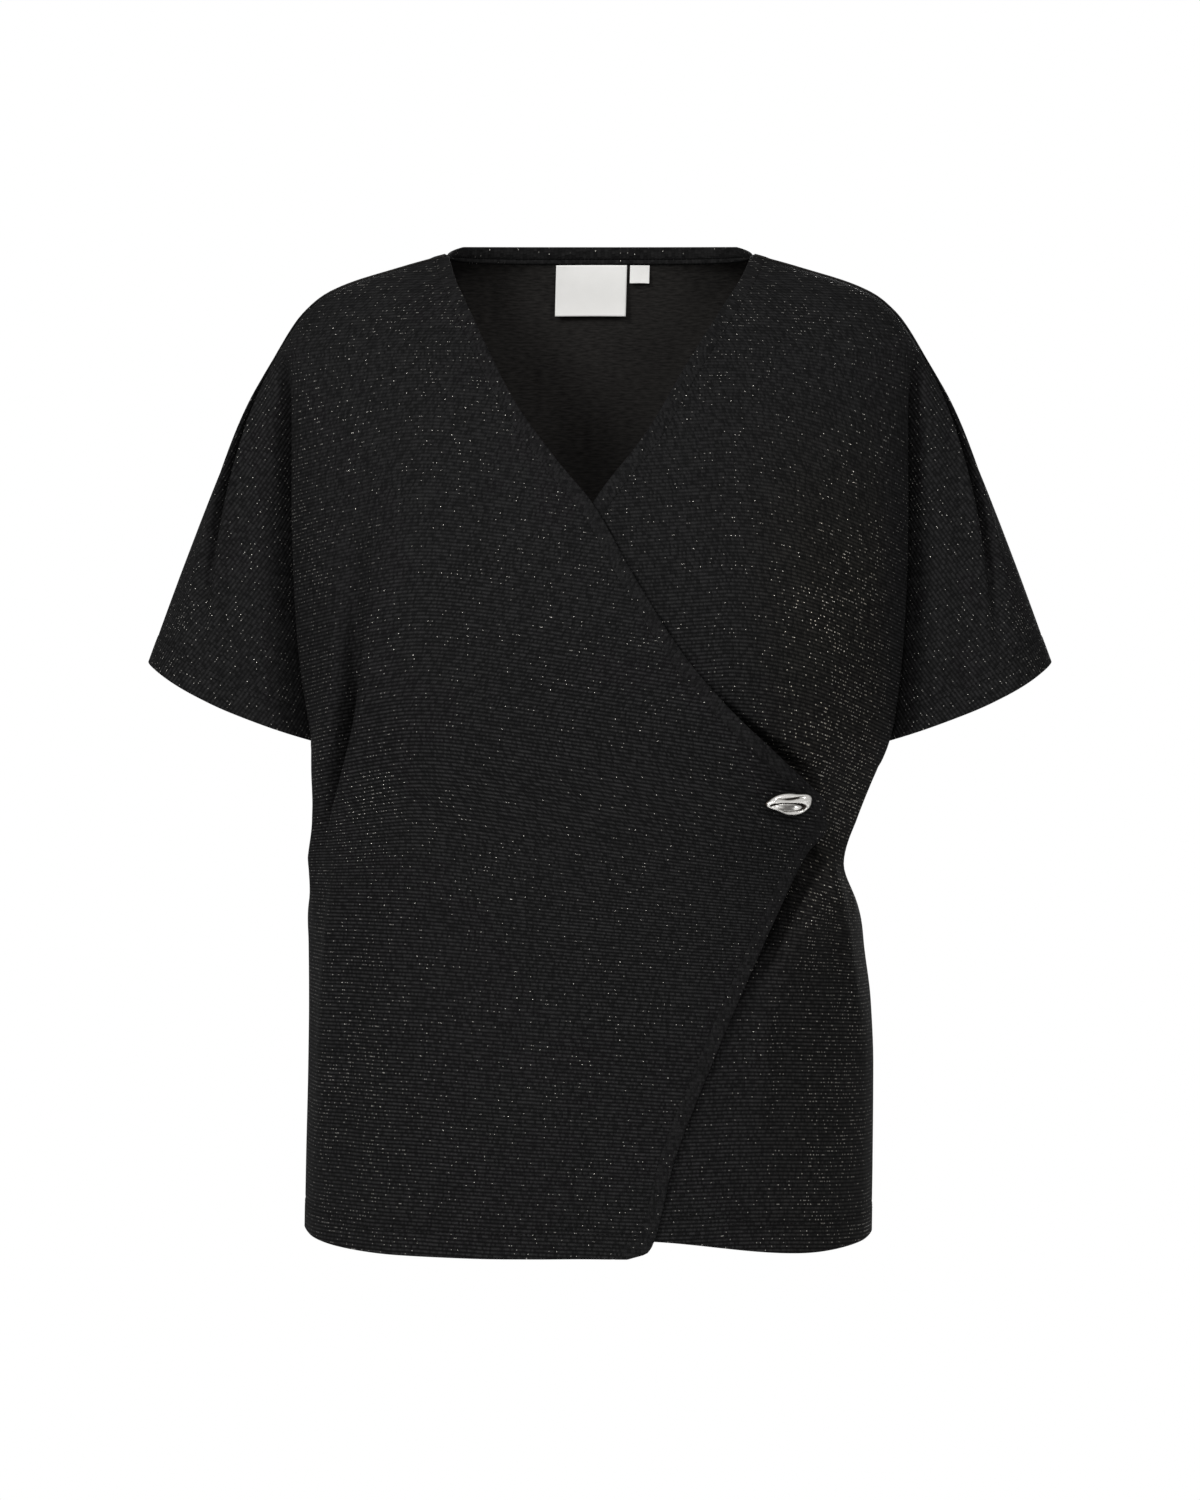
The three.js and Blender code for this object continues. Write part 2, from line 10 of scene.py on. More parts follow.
import bpy
import numpy as np
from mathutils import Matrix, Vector


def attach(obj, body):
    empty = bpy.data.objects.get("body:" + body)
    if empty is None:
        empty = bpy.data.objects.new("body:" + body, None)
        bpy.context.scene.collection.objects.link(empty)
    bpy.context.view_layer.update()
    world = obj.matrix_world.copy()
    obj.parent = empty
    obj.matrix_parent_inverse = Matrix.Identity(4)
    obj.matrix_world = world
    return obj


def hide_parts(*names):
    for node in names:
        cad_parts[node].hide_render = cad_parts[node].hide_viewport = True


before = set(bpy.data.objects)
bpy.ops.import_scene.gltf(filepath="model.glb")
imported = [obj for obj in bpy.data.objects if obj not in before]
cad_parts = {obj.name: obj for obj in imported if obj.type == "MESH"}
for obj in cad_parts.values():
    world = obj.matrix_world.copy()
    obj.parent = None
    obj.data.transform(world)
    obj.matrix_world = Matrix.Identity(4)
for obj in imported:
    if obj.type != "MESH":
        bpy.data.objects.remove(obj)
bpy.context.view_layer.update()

bl_info = {
    "name": "Wrap top in glitter knit",
    "version": (1, 0, 0),
    "blender": (4, 5, 0),
    "location": "View3D > Sidebar > Wrap top",
    "description": "Makes the cloth, trim, button and stage of a wrap top",
    "category": "Object",
}

# Sizes are in millimetres until a mesh is made
MM = 0.001
RIGHT, LEFT = -1, 1  # the wearer's sides: x is below 0 on the right
FRONT, BACK = -1, 1  # the front faces -Y

# Levels, measured down from the shoulder seams' neck ends
NECK = 4.5
SHOULDER_FOLD = 73.0  # where the fold of cloth at each arm begins
CUFF_TIP = 288.0
UNDERARM = 343.0
SIDE_CLOSED = 480.0  # where the arm's fold has run out
HEM = 690.0

SQUARENESS = 2.3  # of the body's section: 2 would be an oval
LAP = 3.2  # how far the outer front stands proud of the inner one
EDGE_LIFT = {"high": 5.0, "level": 346.0, "half": 22.0, "reach": 26.0}  # its edge above the button
BACK_WAVE = {"high": 3.5, "long": 27.0, "lean": 0.06}  # upright waves across the back
UNEVEN = 0.6  # strength of the cloth's slight unevenness
EDGE_ANGLE = math.radians(72)  # where on the section the arm's fold begins
VALLEY_SHARE = 0.45  # the fold's bottom lies this far from there to the side
FOLD_IN = 40.0  # how far the fold is drawn in at the underarm
FOLD_GROWTH = 0.8  # power by which it grows from the shoulder to the underarm
FOLD_DROP = 9.0
SLEEVE_SWELL = {FRONT: 50.0, BACK: 46.0}  # how far the sleeve is filled out at the cuff
SLEEVE_GROWTH = 0.7  # power by which it grows
SLEEVE_FORWARD = 13.0  # how far the sleeve comes forward beside the arm's fold
SLEEVE_LEAN = math.radians(50)  # the way the ribs run down the sleeve, against level
SLEEVE_PIVOT = 212.0  # how far out they meet the body's ribs
CUFF_BOW = 1.05  # how much the cuff's line bows upwards on its way to the top seam
CUFF_BACK_LIFT = 7.0
NECK_RISE = 2.5  # how far the back's neckline rises in its middle
SIDE_HEM_LIFT = {RIGHT: 7.5, LEFT: 4.5}
INNER_HEM_LIFT = 12.0


def columns(names, *rows):
    """A table: one array for each named column."""
    return dict(zip(names.split(), np.array(rows, float).T))


TOP_SEAM = columns(
    "down out y",
    (4.5, 107.5, 0), (9.8, 127.5, 0.5), (14, 142, 1), (22.4, 170, 2), (27, 182, 2.5),
    (32, 192, 3), (38, 200, 3.5), (49, 210.5, 4), (73, 225.5, 4), (105, 244, 4),
    (147, 262.5, 4), (217, 290, 5), (288, 316, 5),
)
WIDTH = columns(
    "down right left",
    (73, 214, 214), (119, 213, 213), (175, 213, 213), (231, 211, 211.5), (273, 208, 209),
    (315, 203, 205), (343, 199, 199.5), (371, 200.5, 189), (399, 204, 180),
    (427, 207.5, 172.5), (455, 206.5, 182.5), (483, 204, 184.5), (525, 203.7, 189.5),
    (570, 204.2, 191.3), (640, 205.7, 190.8), (690, 206.5, 190),
)
DEPTH = columns(
    "down front back",
    (0, 6, 71), (14, 22, 76), (36, 42, 85), (70, 68, 96), (110, 93, 107), (150, 109, 114),
    (185, 119, 119), (235, 131, 121), (290, 139, 119), (343, 141, 114), (430, 138, 110),
    (560, 139, 117), (690, 142, 125),
)
OUTER_EDGE = columns(
    "down x",
    (3, -107), (23, -101), (39, -94), (74, -78), (116, -57), (156, -29), (185, -5.5),
    (232, 21), (285, 54), (329, 91), (354, 117), (377, 143), (384, 150), (403, 151.5),
    (418, 139.5), (442, 127), (491, 104), (558, 75), (628, 48), (678, 35.5), (686, 31),
    (690, 18),
)
INNER_EDGE = columns(
    "down x",
    (3, 107), (23, 98), (42, 86.5), (85, 60.6), (134, 32.6), (175, 1.4), (232, -34),
    (285, -64), (343, -104), (384, -134), (403, -135), (442, -114), (491, -92),
    (558, -64), (628, -38), (690, -20),
)
DRAPE = columns(
    "down angle deep",
    (150, 42, 0), (190, 43, 1), (225, 45, 4), (270, 47, 7), (315, 50.5, 9), (362, 56, 8),
    (396, 60, 5), (430, 62, 1), (460, 62, 0),
)
DRAPE_WIDE = math.radians(5.5)

# The fold along the sleeve: its column, where that column lies at the shoulder and at the cuff, and
# its depth, which swells round the middle of its way
SLEEVE_CREASE = {
    "column": 0.6, "from": 0.765, "to": 0.495, "wide": 0.09, "deep": 6.0, "middle": 0.48,
    "half": 0.27,
}
# Soft bands along the sleeve: the column of each, its half width in columns, and its height
SLEEVE_BANDS = ((0.56, 0.035, 2.5), (0.625, 0.026, -11.0), (0.72, 0.05, 10.0))


# The gap between the two fronts above the button and below it: how far the outer front hangs over
# it beyond its own edge, and its depth
GAP = columns(
    "down wide deep",
    (170, 0, 0), (200, 2.2, 3), (296, 2.6, 4), (312, 5, 5), (330, 10, 10), (348, 15, 14),
    (360, 16, 13), (370, 11, 8), (379, 5, 4), (388, 2, 2), (404, 1, 1), (416, 3.5, 4),
    (440, 11, 11), (470, 12, 11), (500, 7, 7), (540, 2.6, 3.6), (690, 2.4, 3),
)


def crease(wide, *rows):
    """A soft crease: its half width, or those towards -X and +X, and the line that it
    runs down. Each row gives the distance down, x and the height, above 0 for a ridge and below 0
    for a trough."""
    return {"wide": wide, "line": columns("down x high", *rows)}


HEM_HOLLOW = crease(24, (540, -10, 0), (620, -12, -1.2), (690, -14, -2.2))
SPINE = crease(30, (110, 0, 0), (230, 1, -4.6), (350, 2, -5.6), (440, 0, -2.6), (520, -3, 0))

# The creases of each panel. Those of a key that ends in Forward move the cloth straight to the
# front, so that the outline seen from the front stays as it is.
CREASES = {
    "outer": {
        "drape_trough": crease((12, 4.5), (200, -160, 0), (240, -163, -2), (298, -166, -6),
            (333, -173, -10), (371, -183, -11), (396, -191, -7), (425, -197, 0)),
        "drape_lip": crease((4, 9), (205, -152, 0), (263, -155, 1.6), (298, -158, 2.6),
            (333, -164.5, 3.2), (371, -174, 3.2), (396, -182, 2.4), (430, -190, 0)),
        "hip_light": crease((7, 12), (385, -166, 0), (430, -175, 4.5), (480, -182, 6),
            (540, -187, 5), (610, -190, 3), (670, -192, 0)),
        "side_hollow": crease(10, (430, -162, 0), (500, -169, -2.4), (600, -174, -2.4),
            (690, -176, -1)),
        "bust_fall": crease(22, (120, -118, 0), (190, -126, 1.6), (260, -132, 2.4),
            (360, -136, 1.2), (430, -138, 0)),
        "button_pull": crease(13, (372, 60, 0), (388, 82, 1.0), (400, 104, 1.4), (410, 118, 0)),
        "hem_flute": crease(26, (520, -70, 0), (620, -74, 1.6), (690, -76, 2.6)),
        "hem_hollow": HEM_HOLLOW,
    },
    "outerForward": {
        "drape_bank": crease((8, 10), (225, -176, 0), (280, -182, 10), (320, -186.5, 19),
            (352, -191, 22), (380, -196, 17), (402, -200, 9), (430, -204, 0)),
    },
    "innerForward": {
        "waist_hollow": crease((17, 40), (285, 178, 0), (335, 177, -8), (378, 172, -17),
            (402, 172, -13), (430, 178, -4), (470, 182, 0)),
        "side_light": crease((5, 3.5), (385, 148, 0), (405, 152, 5), (425, 158, 7), (451, 166, 8),
            (503, 175, 7), (536, 179.5, 5), (580, 184, 0)),
        "wedge_bank": crease((10, 22), (406, 170, 0), (428, 161, 15), (452, 150, 18),
            (484, 132, 11), (515, 118, 4), (550, 108, 0)),
    },
    "inner": {
        "wedge": crease(13, (400, 152, 0), (425, 141, -11), (455, 130, -15), (486, 118, -11),
            (520, 107, -4), (550, 98, 0)),
        "wedge_ridge": crease(9, (455, 150, 0), (480, 127, 1.2), (505, 112, 3.6), (545, 109.5, 4.2),
            (585, 109, 2.2), (620, 110, 0)),
        "side_trough": crease(8, (400, 147, 0), (432, 150, -2.6), (470, 157, -3), (520, 164, -1.6),
            (570, 169, 0)),
        "golden": crease(18, (147, 128, 0), (220, 140, 2.2), (290, 149, 3), (335, 156, 1.4),
            (372, 164, 0)),
        "under_edge": crease(13, (180, 8, 0), (235, 36, -1.4), (300, 78, -2.4), (335, 104, -3),
            (382, 150, -1), (392, 156, 0)),
        "hem_flute": crease(20, (560, 140, 0), (640, 145, 1.4), (690, 148, 2.2)),
        "hem_hollow": HEM_HOLLOW,
        "chest_fall": crease(20, (110, 92, 0), (180, 98, 1.4), (250, 104, 1.8), (320, 110, 0)),
    },
    "backRight": {
        "armhole_fold": crease((12, 18), (140, -176, 0), (230, -158, -6), (330, -138, -8.5),
            (430, -122, -5), (500, -116, 0)),
        "armhole_ridge": crease(13, (190, -140, 0), (270, -124, 3), (350, -112, 3.6),
            (440, -100, 0)),
        "waist_swag": crease(15, (348, -22, 0), (368, -58, -4), (388, -100, -6), (402, -140, -4),
            (412, -164, 0)),
        "low_swag": crease(13, (404, -60, 0), (420, -92, -3.4), (436, -124, -3.8), (450, -156, 0)),
        "waist_fold": crease(16, (400, -70, 0), (470, -66, -4.4), (540, -70, -3.4), (640, -78, 0)),
        "side_ridge": crease(12, (380, -172, 0), (440, -180, 2.8), (540, -184, 2), (620, -186, 0)),
        "spine": SPINE,
    },
    "backLeft": {
        "armhole_fold": crease((17, 11), (160, 180, 0), (250, 160, -5), (350, 145, -7.4),
            (440, 134, -4.6), (520, 130, 0)),
        "armhole_ridge": crease(14, (210, 146, 0), (290, 130, 2.6), (380, 120, 3), (460, 112, 0)),
        "waist_swag": crease(14, (362, 26, 0), (378, 60, -4.6), (392, 98, -5.4), (408, 146, -3),
            (416, 166, 0)),
        "waist_fold": crease(18, (410, 58, 0), (480, 62, -4.6), (550, 60, -3.6), (650, 52, 0)),
        "hem_fold": crease(15, (520, 118, 0), (600, 124, -3), (690, 126, -4)),
        "side_ridge": crease(11, (370, 160, 0), (430, 166, 2.4), (520, 174, 1.8), (600, 178, 0)),
        "spine": SPINE,
    },
}

PANELS = {
    "outer": {"side": RIGHT, "face": FRONT, "edge": OUTER_EDGE, "draped": True},
    "inner": {"side": LEFT, "face": FRONT, "edge": INNER_EDGE, "draped": False},
    "backRight": {"side": RIGHT, "face": BACK, "edge": None, "draped": False},
    "backLeft": {"side": LEFT, "face": BACK, "edge": None, "draped": False},
}
DRAPE_KEPT = 10 / 15  # share of the outer front's columns before its drape
EDGE_CLOSE, EDGE_FINE = 14, 1.2  # columns beside a free edge, and the distance between them
FINE_STEP = 1.4  # distance between the rows of the hem's and the cuff's turning


def mix(a, b, t):
    """a at share 0, b at share 1, and straight between them."""
    return a + (b - a) * t


def ease(start, end, at):
    """0 up to start, 1 from end, and smooth between them."""
    t = np.clip((at - start) / (end - start), 0, 1)
    return t * t * (3 - 2 * t)


def hump(middle, half, at):
    """A bell of height 1 round a middle."""
    return np.exp(-(((at - middle) / half) ** 2))


def read(table, column, at):
    """A column's value at a distance down: cubic pieces whose slopes at the rows are the harmonic
    means of the slopes beside them, so that the curve never overshoots its rows."""
    x, y = table["down"], table[column]
    slope = np.diff(y) / np.diff(x)
    before, after = slope[:-1], slope[1:]
    same = before * after > 0
    inner = np.where(same, 2 * before * after / np.where(same, before + after, 1), 0)
    tangent = np.concatenate([slope[:1], inner, slope[-1:]])
    at = np.clip(at, x[0], x[-1])
    i = np.clip(np.searchsorted(x, at, side="right") - 1, 0, len(x) - 2)
    h = x[i + 1] - x[i]
    t = (at - x[i]) / h
    return (
        y[i] * (1 + 2 * t) * (1 - t) ** 2
        + tangent[i] * h * t * (1 - t) ** 2
        + y[i + 1] * t * t * (3 - 2 * t)
        - tangent[i + 1] * h * t * t * (1 - t)
    )


def half_width(side, down):
    """Half width of the body's rounded section: the shoulder seam's reach above the arm folds, and
    below them the width table over the sine of the angle at which the fold's edge lies."""
    reach = mix(math.sin(EDGE_ANGLE), 1, ease(UNDERARM, SIDE_CLOSED, down))
    body = read(WIDTH, "right", down) * (side < 0) + read(WIDTH, "left", down) * (side >= 0)
    return np.where(down <= SHOULDER_FOLD, read(TOP_SEAM, "out", down), body / reach)


def depth(face, down):
    return read(DEPTH, "front" if face == FRONT else "back", down)


def bow(share):
    """How deep a rounded section stands: the n-th root of 1 less the share to the n."""
    return np.maximum(0, 1 - np.abs(share) ** SQUARENESS) ** (1 / SQUARENESS)


def body_form(face, angle, down):
    """The body's smooth form: x is the half width times the angle's sine, y the depth times the
    bow of that sine, leaning to the shoulder seam at the ends."""
    share = np.sin(angle)
    side = np.where(angle < 0, RIGHT, LEFT)
    seam = read(TOP_SEAM, "y", down) * np.abs(share) ** 8
    x = half_width(side, down) * share
    y = face * depth(face, down) * bow(share) + seam
    return np.stack(np.broadcast_arrays(x, y, -down), -1)


def unit(v):
    return v / np.maximum(np.linalg.norm(v, axis=-1, keepdims=True), 1e-12)


def body_normal(face, angle, down):
    """The smooth form's outward direction, from differences across and down."""
    across = body_form(face, angle + 0.01, down) - body_form(face, angle - 0.01, down)
    along = body_form(face, angle, down + 1) - body_form(face, angle, down - 1)
    return unit(np.cross(across, along) * face)


def crease_profile(u):
    """A low lip, and a trough beyond it."""
    return 0.35 * hump(-0.6, 0.8, u) - hump(1, 0.7, u)


def edge_angle(panel, down):
    """Where a row begins: the arc sine of the free edge's x over the half width, or 0 at the back."""
    if panel["edge"] is None:
        return np.zeros_like(down)
    x = read(panel["edge"], "x", down)
    share = x / half_width(np.where(x < 0, RIGHT, LEFT), down)
    return np.arcsin(np.clip(share, -1, 1)) * panel["side"]


def turn_angle(panel, down):
    """Where the arm's fold begins. Above it the same share of the way from the row's beginning to the
    side is kept."""
    low = edge_angle(panel, np.array(SHOULDER_FOLD))
    share = (EDGE_ANGLE - low) / (math.pi / 2 - low)
    high = mix(edge_angle(panel, down), math.pi / 2, share)
    return np.where(down >= SHOULDER_FOLD, EDGE_ANGLE, high)


def drape_angle(down):
    return np.radians(read(DRAPE, "angle", down))


def hand_creases(kind, x, down, strength):
    """Sum of the soft creases: each its height down its line, times a bell across it."""
    total = np.zeros(np.broadcast(x, down).shape)
    for fold in CREASES[kind].values():
        wide, line = fold["wide"], fold["line"]
        off = x - read(line, "x", down)
        half = np.where(off < 0, *wide) if isinstance(wide, tuple) else wide
        total += read(line, "high", down) * hump(0, half, off)
    return strength * total


def gap_depth(x, down):
    """How far the inner front drops where the outer one stands off it above the button: a steep bank
    a little way beyond the outer front's edge, level under it, and a slow rise further in."""
    inside = read(OUTER_EDGE, "x", down) + read(GAP, "wide", down) - x
    return read(GAP, "deep", down) * ease(0, 4, inside) * (1 - ease(18, 60, inside))


def ripple(face, x, down):
    """Slight unevenness of hanging cloth: a few long waves that cross each other."""
    return (
        0.35 * np.sin(x / 23 + down / 61 + face)
        + 0.3 * np.sin(x / 37 - down / 29 + 2 * face)
        + 0.25 * np.sin(x / 13 + down / 97 + 3 * face)
    )


def hem_lift(kind, x):
    """How far the hem is lifted: at the sides by a steep power, and at the inner front's far edge."""
    share = np.clip(np.abs(x) / half_width(np.where(x < 0, RIGHT, LEFT), np.array(HEM)), 0, 1)
    lift = np.where(x < 0, SIDE_HEM_LIFT[RIGHT], SIDE_HEM_LIFT[LEFT]) * share**10
    return lift + (INNER_HEM_LIFT * ease(150, 20, x) if kind == "inner" else 0)


def body_point(kind, angle, down, strength):
    """A finished point of the body: the smooth form, moved out along its normal by the lap, the
    edge's lift, the drape and the creases, with the hem's and the neck's lift added."""
    side, face = PANELS[kind]["side"], PANELS[kind]["face"]
    turned = angle * side
    point = body_form(face, turned, down)
    normal = body_normal(face, turned, down)
    x = point[..., 0]
    if face == BACK:
        wave = np.cos((x + BACK_WAVE["lean"] * down) / BACK_WAVE["long"])
        proud = BACK_WAVE["high"] * ease(150, 420, down) * wave * (1 - ease(120, 190, np.abs(x)))
    else:
        proud = np.zeros_like(x)
    if kind == "outer":
        from_edge = np.abs(read(OUTER_EDGE, "x", down) - x)
        proud = proud + LAP * ease(90, 160, down) * (1 - ease(138, 168, -x))
        lifted = EDGE_LIFT["high"] * hump(EDGE_LIFT["level"], EDGE_LIFT["half"], down)
        proud += lifted * np.exp(-from_edge / EDGE_LIFT["reach"])
        across = (angle - drape_angle(down)) / DRAPE_WIDE
        proud += read(DRAPE, "deep", down) * crease_profile(across)
    proud = proud + hand_creases(kind, x, down, strength)
    if kind == "inner":
        proud = proud - strength * gap_depth(x, down)
    proud += UNEVEN * strength * ease(20, 90, down) * ripple(face, x, down)
    point = point + normal * proud[..., None]
    if face == FRONT:
        point[..., 1] += face * hand_creases(f"{kind}Forward", x, down, strength)
    lift = ease(560, HEM, down) * hem_lift(kind, point[..., 0])
    if face == BACK:
        lift = lift + NECK_RISE * np.cos(turned) ** 2 * (1 - ease(NECK, 60, down))
    point[..., 2] += lift
    return point


def row_levels(step, fine):
    """Levels of the rows: every named level, and between them steps no longer than asked, measured
    along the shoulder seam above the arm folds. The rows of the cuff's and the hem's turning are
    finer."""
    named = [NECK, 13, 22, 30, 39, 54, SHOULDER_FOLD, 122, 185, 256, UNDERARM - 25, UNDERARM]
    named += [384, 404, 444, 512, 610, HEM - 25, HEM]
    levels = [NECK]
    for low, high in zip(named, named[1:]):
        run = high - low
        if high <= SHOULDER_FOLD:
            run = math.hypot(run, float(read(TOP_SEAM, "out", high) - read(TOP_SEAM, "out", low)))
        count = math.ceil(run / (fine if high in (UNDERARM, HEM) else step))
        levels += list(np.linspace(low, high, count + 1)[1:])
    return np.array(levels)


def edge_columns(kind, start, turn, down, count, close, fine):
    """Shares of the way from the free edge to the fold's edge, one row of them for each level: the
    first ones a fixed distance apart, so that the turned edge has its form, and the rest even."""
    ahead = body_point(kind, start + 0.01, down, 0) - body_point(kind, start, down, 0)
    speed = np.linalg.norm(ahead, axis=-1) / 0.01
    length = np.maximum(speed * (turn - start), 1)
    near = np.minimum(close * fine / length, 0.5 * close / count)
    j = np.arange(count + 1)[None, :]
    return np.where(j <= close, near * j / close, near + (1 - near) * (j - close) / (count - close))


def body_angles(kind, down, count):
    """The angle of each column, from the free edge or the middle of the back to the arm fold's edge,
    and that edge's own angle. On the outer front one column follows the drape."""
    panel = PANELS[kind]
    start, turn = edge_angle(panel, down), turn_angle(panel, down)
    if panel["edge"] is None:
        c = np.linspace(0, 1, count + 1)[None, :]
    else:
        c = edge_columns(kind, start, turn, down, count, EDGE_CLOSE, EDGE_FINE)
    angle = mix(start, turn, c)
    if panel["draped"]:
        kept = mix(start, drape_angle(down), c / DRAPE_KEPT)
        beyond = mix(drape_angle(down), turn, (c - DRAPE_KEPT) / (1 - DRAPE_KEPT))
        angle = mix(angle, np.where(c <= DRAPE_KEPT, kept, beyond), ease(39, 152, down))
    return angle, turn


def fold_bottom(kind, turn, down, grown):
    """The bottom of the arm's fold. As far down as the underarm it is the body's rim, drawn in as the
    fold grows and moved to the middle between front and back; below it runs out to the side seam."""
    side = PANELS[kind]["side"]
    notch = grown**FOLD_GROWTH
    closed = ease(UNDERARM, SIDE_CLOSED, down)
    rim = body_point(kind, mix(turn, math.pi / 2, VALLEY_SHARE), down, 0)
    flank = body_point(kind, np.full_like(down, math.pi / 2), down, 0)
    reach = np.abs(rim[..., 0])
    above = (
        side * (reach - FOLD_IN * notch),
        rim[..., 1] * (1 - notch),
        rim[..., 2] - FOLD_DROP * grown,
    )
    below = (
        mix(side * (reach - FOLD_IN), flank[..., 0], closed),
        np.zeros_like(down),
        flank[..., 2] - FOLD_DROP * (1 - closed),
    )
    return np.where((down > UNDERARM)[..., None], np.stack(below, -1), np.stack(above, -1))


def fold_wall(kind, turn, down, edge, valley, count, strength):
    """The arm fold's wall: a cubic that leaves its edge in the body's direction and reaches its bottom
    straight, or sideways where the fold has closed."""
    closed = ease(UNDERARM, SIDE_CLOSED, down) * (down > UNDERARM)
    chord = valley - edge
    leaving = unit(edge - body_point(kind, turn - 0.04, down, strength))
    sideways = np.array([0.0, -PANELS[kind]["face"], 0.0])
    arriving = unit(mix(unit(chord), sideways, closed[..., None]))
    pull = 0.6 * np.linalg.norm(chord, axis=-1, keepdims=True)
    t = (np.arange(1, count + 1) / count)[None, :, None]
    return (
        edge * (1 + 2 * t) * (1 - t) ** 2
        + leaving * pull * t * (1 - t) ** 2
        + valley * t * t * (3 - 2 * t)
        - arriving * pull * t * t * (1 - t)
    )


def sleeve_rows(kind, down, grown, valley, count, strength):
    """The sleeve, from the fold's bottom to the top seam: x follows a quarter sine, y swells by a half
    sine, and the height rises by the share of the way with a bow. The fold along the sleeve and
    the bands beside it are laid on top."""
    side, face = PANELS[kind]["side"], PANELS[kind]["face"]
    middle = SLEEVE_CREASE["column"]
    column = (np.arange(1, count + 1) / count)[None, :]
    bend = mix(SLEEVE_CREASE["from"], SLEEVE_CREASE["to"], grown)
    past = (column - middle) / (1 - middle)
    share = np.where(past > 0, mix(bend, 1, past), bend * column / middle)
    deep = SLEEVE_CREASE["deep"] * hump(SLEEVE_CREASE["middle"], SLEEVE_CREASE["half"], grown)
    creased = deep * crease_profile((column - middle) / SLEEVE_CREASE["wide"])
    creased = creased + 0.5 * strength * grown * np.sin(9 * share + 7 * grown + side)
    bands = sum(high * hump(at, half, column) for at, half, high in SLEEVE_BANDS)
    creased = creased + strength * hump(0.4, 0.32, grown) * bands
    creased = creased * np.minimum(1, 6 * (1 - column))
    beside = np.sin(math.pi * np.minimum(1, column / 0.5)) ** 2
    forward = SLEEVE_FORWARD * strength * grown**0.8 * beside
    swell = SLEEVE_SWELL[face] * grown**SLEEVE_GROWTH
    flat = np.sin(math.pi * share)
    top_down = np.where(down <= SHOULDER_FOLD, down, mix(SHOULDER_FOLD, CUFF_TIP, grown))
    top_x = side * read(TOP_SEAM, "out", top_down)
    top_y = read(TOP_SEAM, "y", top_down)
    rise = share + CUFF_BOW * share**3 * (1 - share)
    x = mix(valley[..., 0], top_x, np.sin(math.pi / 2 * share)) + side * 0.4 * creased
    y = mix(valley[..., 1], top_y, share) + face * (swell * flat + 0.9 * creased + forward)
    z = mix(valley[..., 2], -top_down, rise) + CUFF_BACK_LIFT * grown * flat * (face == BACK)
    return np.stack([x, y, z], -1)


def panel_grid(kind, levels, body_columns, wall_columns, sleeve_columns, strength):
    """One panel as rows of points, and which of them exist. Each row runs over the body to the arm
    fold's edge, on the fold's wall to its bottom and, as far down as the cuff, over the sleeve."""
    down = levels[:, None]
    grown = np.clip((down - SHOULDER_FOLD) / (UNDERARM - SHOULDER_FOLD), 0, 1)
    angle, turn = body_angles(kind, down, body_columns)
    body = body_point(kind, angle, down, strength)
    bottom = fold_bottom(kind, turn, down, grown)
    wall = fold_wall(kind, turn, down, body[:, -1:], bottom, wall_columns, strength)
    sleeve = sleeve_rows(kind, down, grown, bottom, sleeve_columns, strength)
    points = np.concatenate([body, wall, sleeve], 1)
    valley = body_columns + wall_columns
    exists = np.ones(points.shape[:2], bool)
    exists[levels > UNDERARM + 1e-6, valley + 1 :] = False
    return points, exists, valley


CLOTH_THICK = 1.15
TURN_THICK = 0.75  # what a turned edge adds inside
TURN_PROUD = 0.3
EDGE_TURN = 9.5  # depth of the turned wrap edge and neckline
HEM_TURN = 19.5
HEM_ROWS = (16.0, 19.5)  # the hem's two rows of stitches
SEAM_HALF = -0.03  # below 0 the pieces pass each other a little, so no light comes through
RIB, WALE = 2.58, 1.35  # height of one knitted rib, and width of one stitch in it
RING = (0.25, 0.5, 0.75)  # places of the edge's extra rings, as shares of a half turn


def cuff_row(levels):
    """The row at the underarm's level, where the sleeves end."""
    return int(np.flatnonzero(np.abs(levels - UNDERARM) < 1e-6)[0])


def shell_normals(points, levels, valley, side, face, before=None):
    """Outward directions from differences across and down. At the top seam and the side seam the
    direction across is straight through the seam, so that both of its pieces share a normal."""
    through = np.zeros_like(points[:, :1])
    through[..., 1] = -face
    ahead = np.diff(points, axis=1)
    first = ahead[:, :1] if before is None else before
    across = unit(np.concatenate([first, ahead], 1)) + unit(np.concatenate([ahead, through], 1))
    along = np.gradient(points, axis=0)
    cuff = cuff_row(levels)
    along[cuff, valley + 1 :] = points[cuff, valley + 1 :] - points[cuff - 1, valley + 1 :]
    normal = unit(np.cross(across, along) * side * face)
    normal[cuff:, valley] = (side, 0, 0)
    return normal


def distance_to(points, line):
    """Shortest distance from each point to a line given by points, which is filled in first."""
    if len(line) < 2:
        return np.full(len(points), 1e3)
    t = np.linspace(0, 1, 4, endpoint=False)[None, :, None]
    fine = (line[:-1, None] * (1 - t) + line[1:, None] * t).reshape(-1, 3)
    fine = np.concatenate([fine, line[-1:]])
    square = (points**2).sum(1)[:, None] + (fine**2).sum(1)[None] - 2 * points @ fine.T
    return np.sqrt(np.maximum(square.min(1), 0))


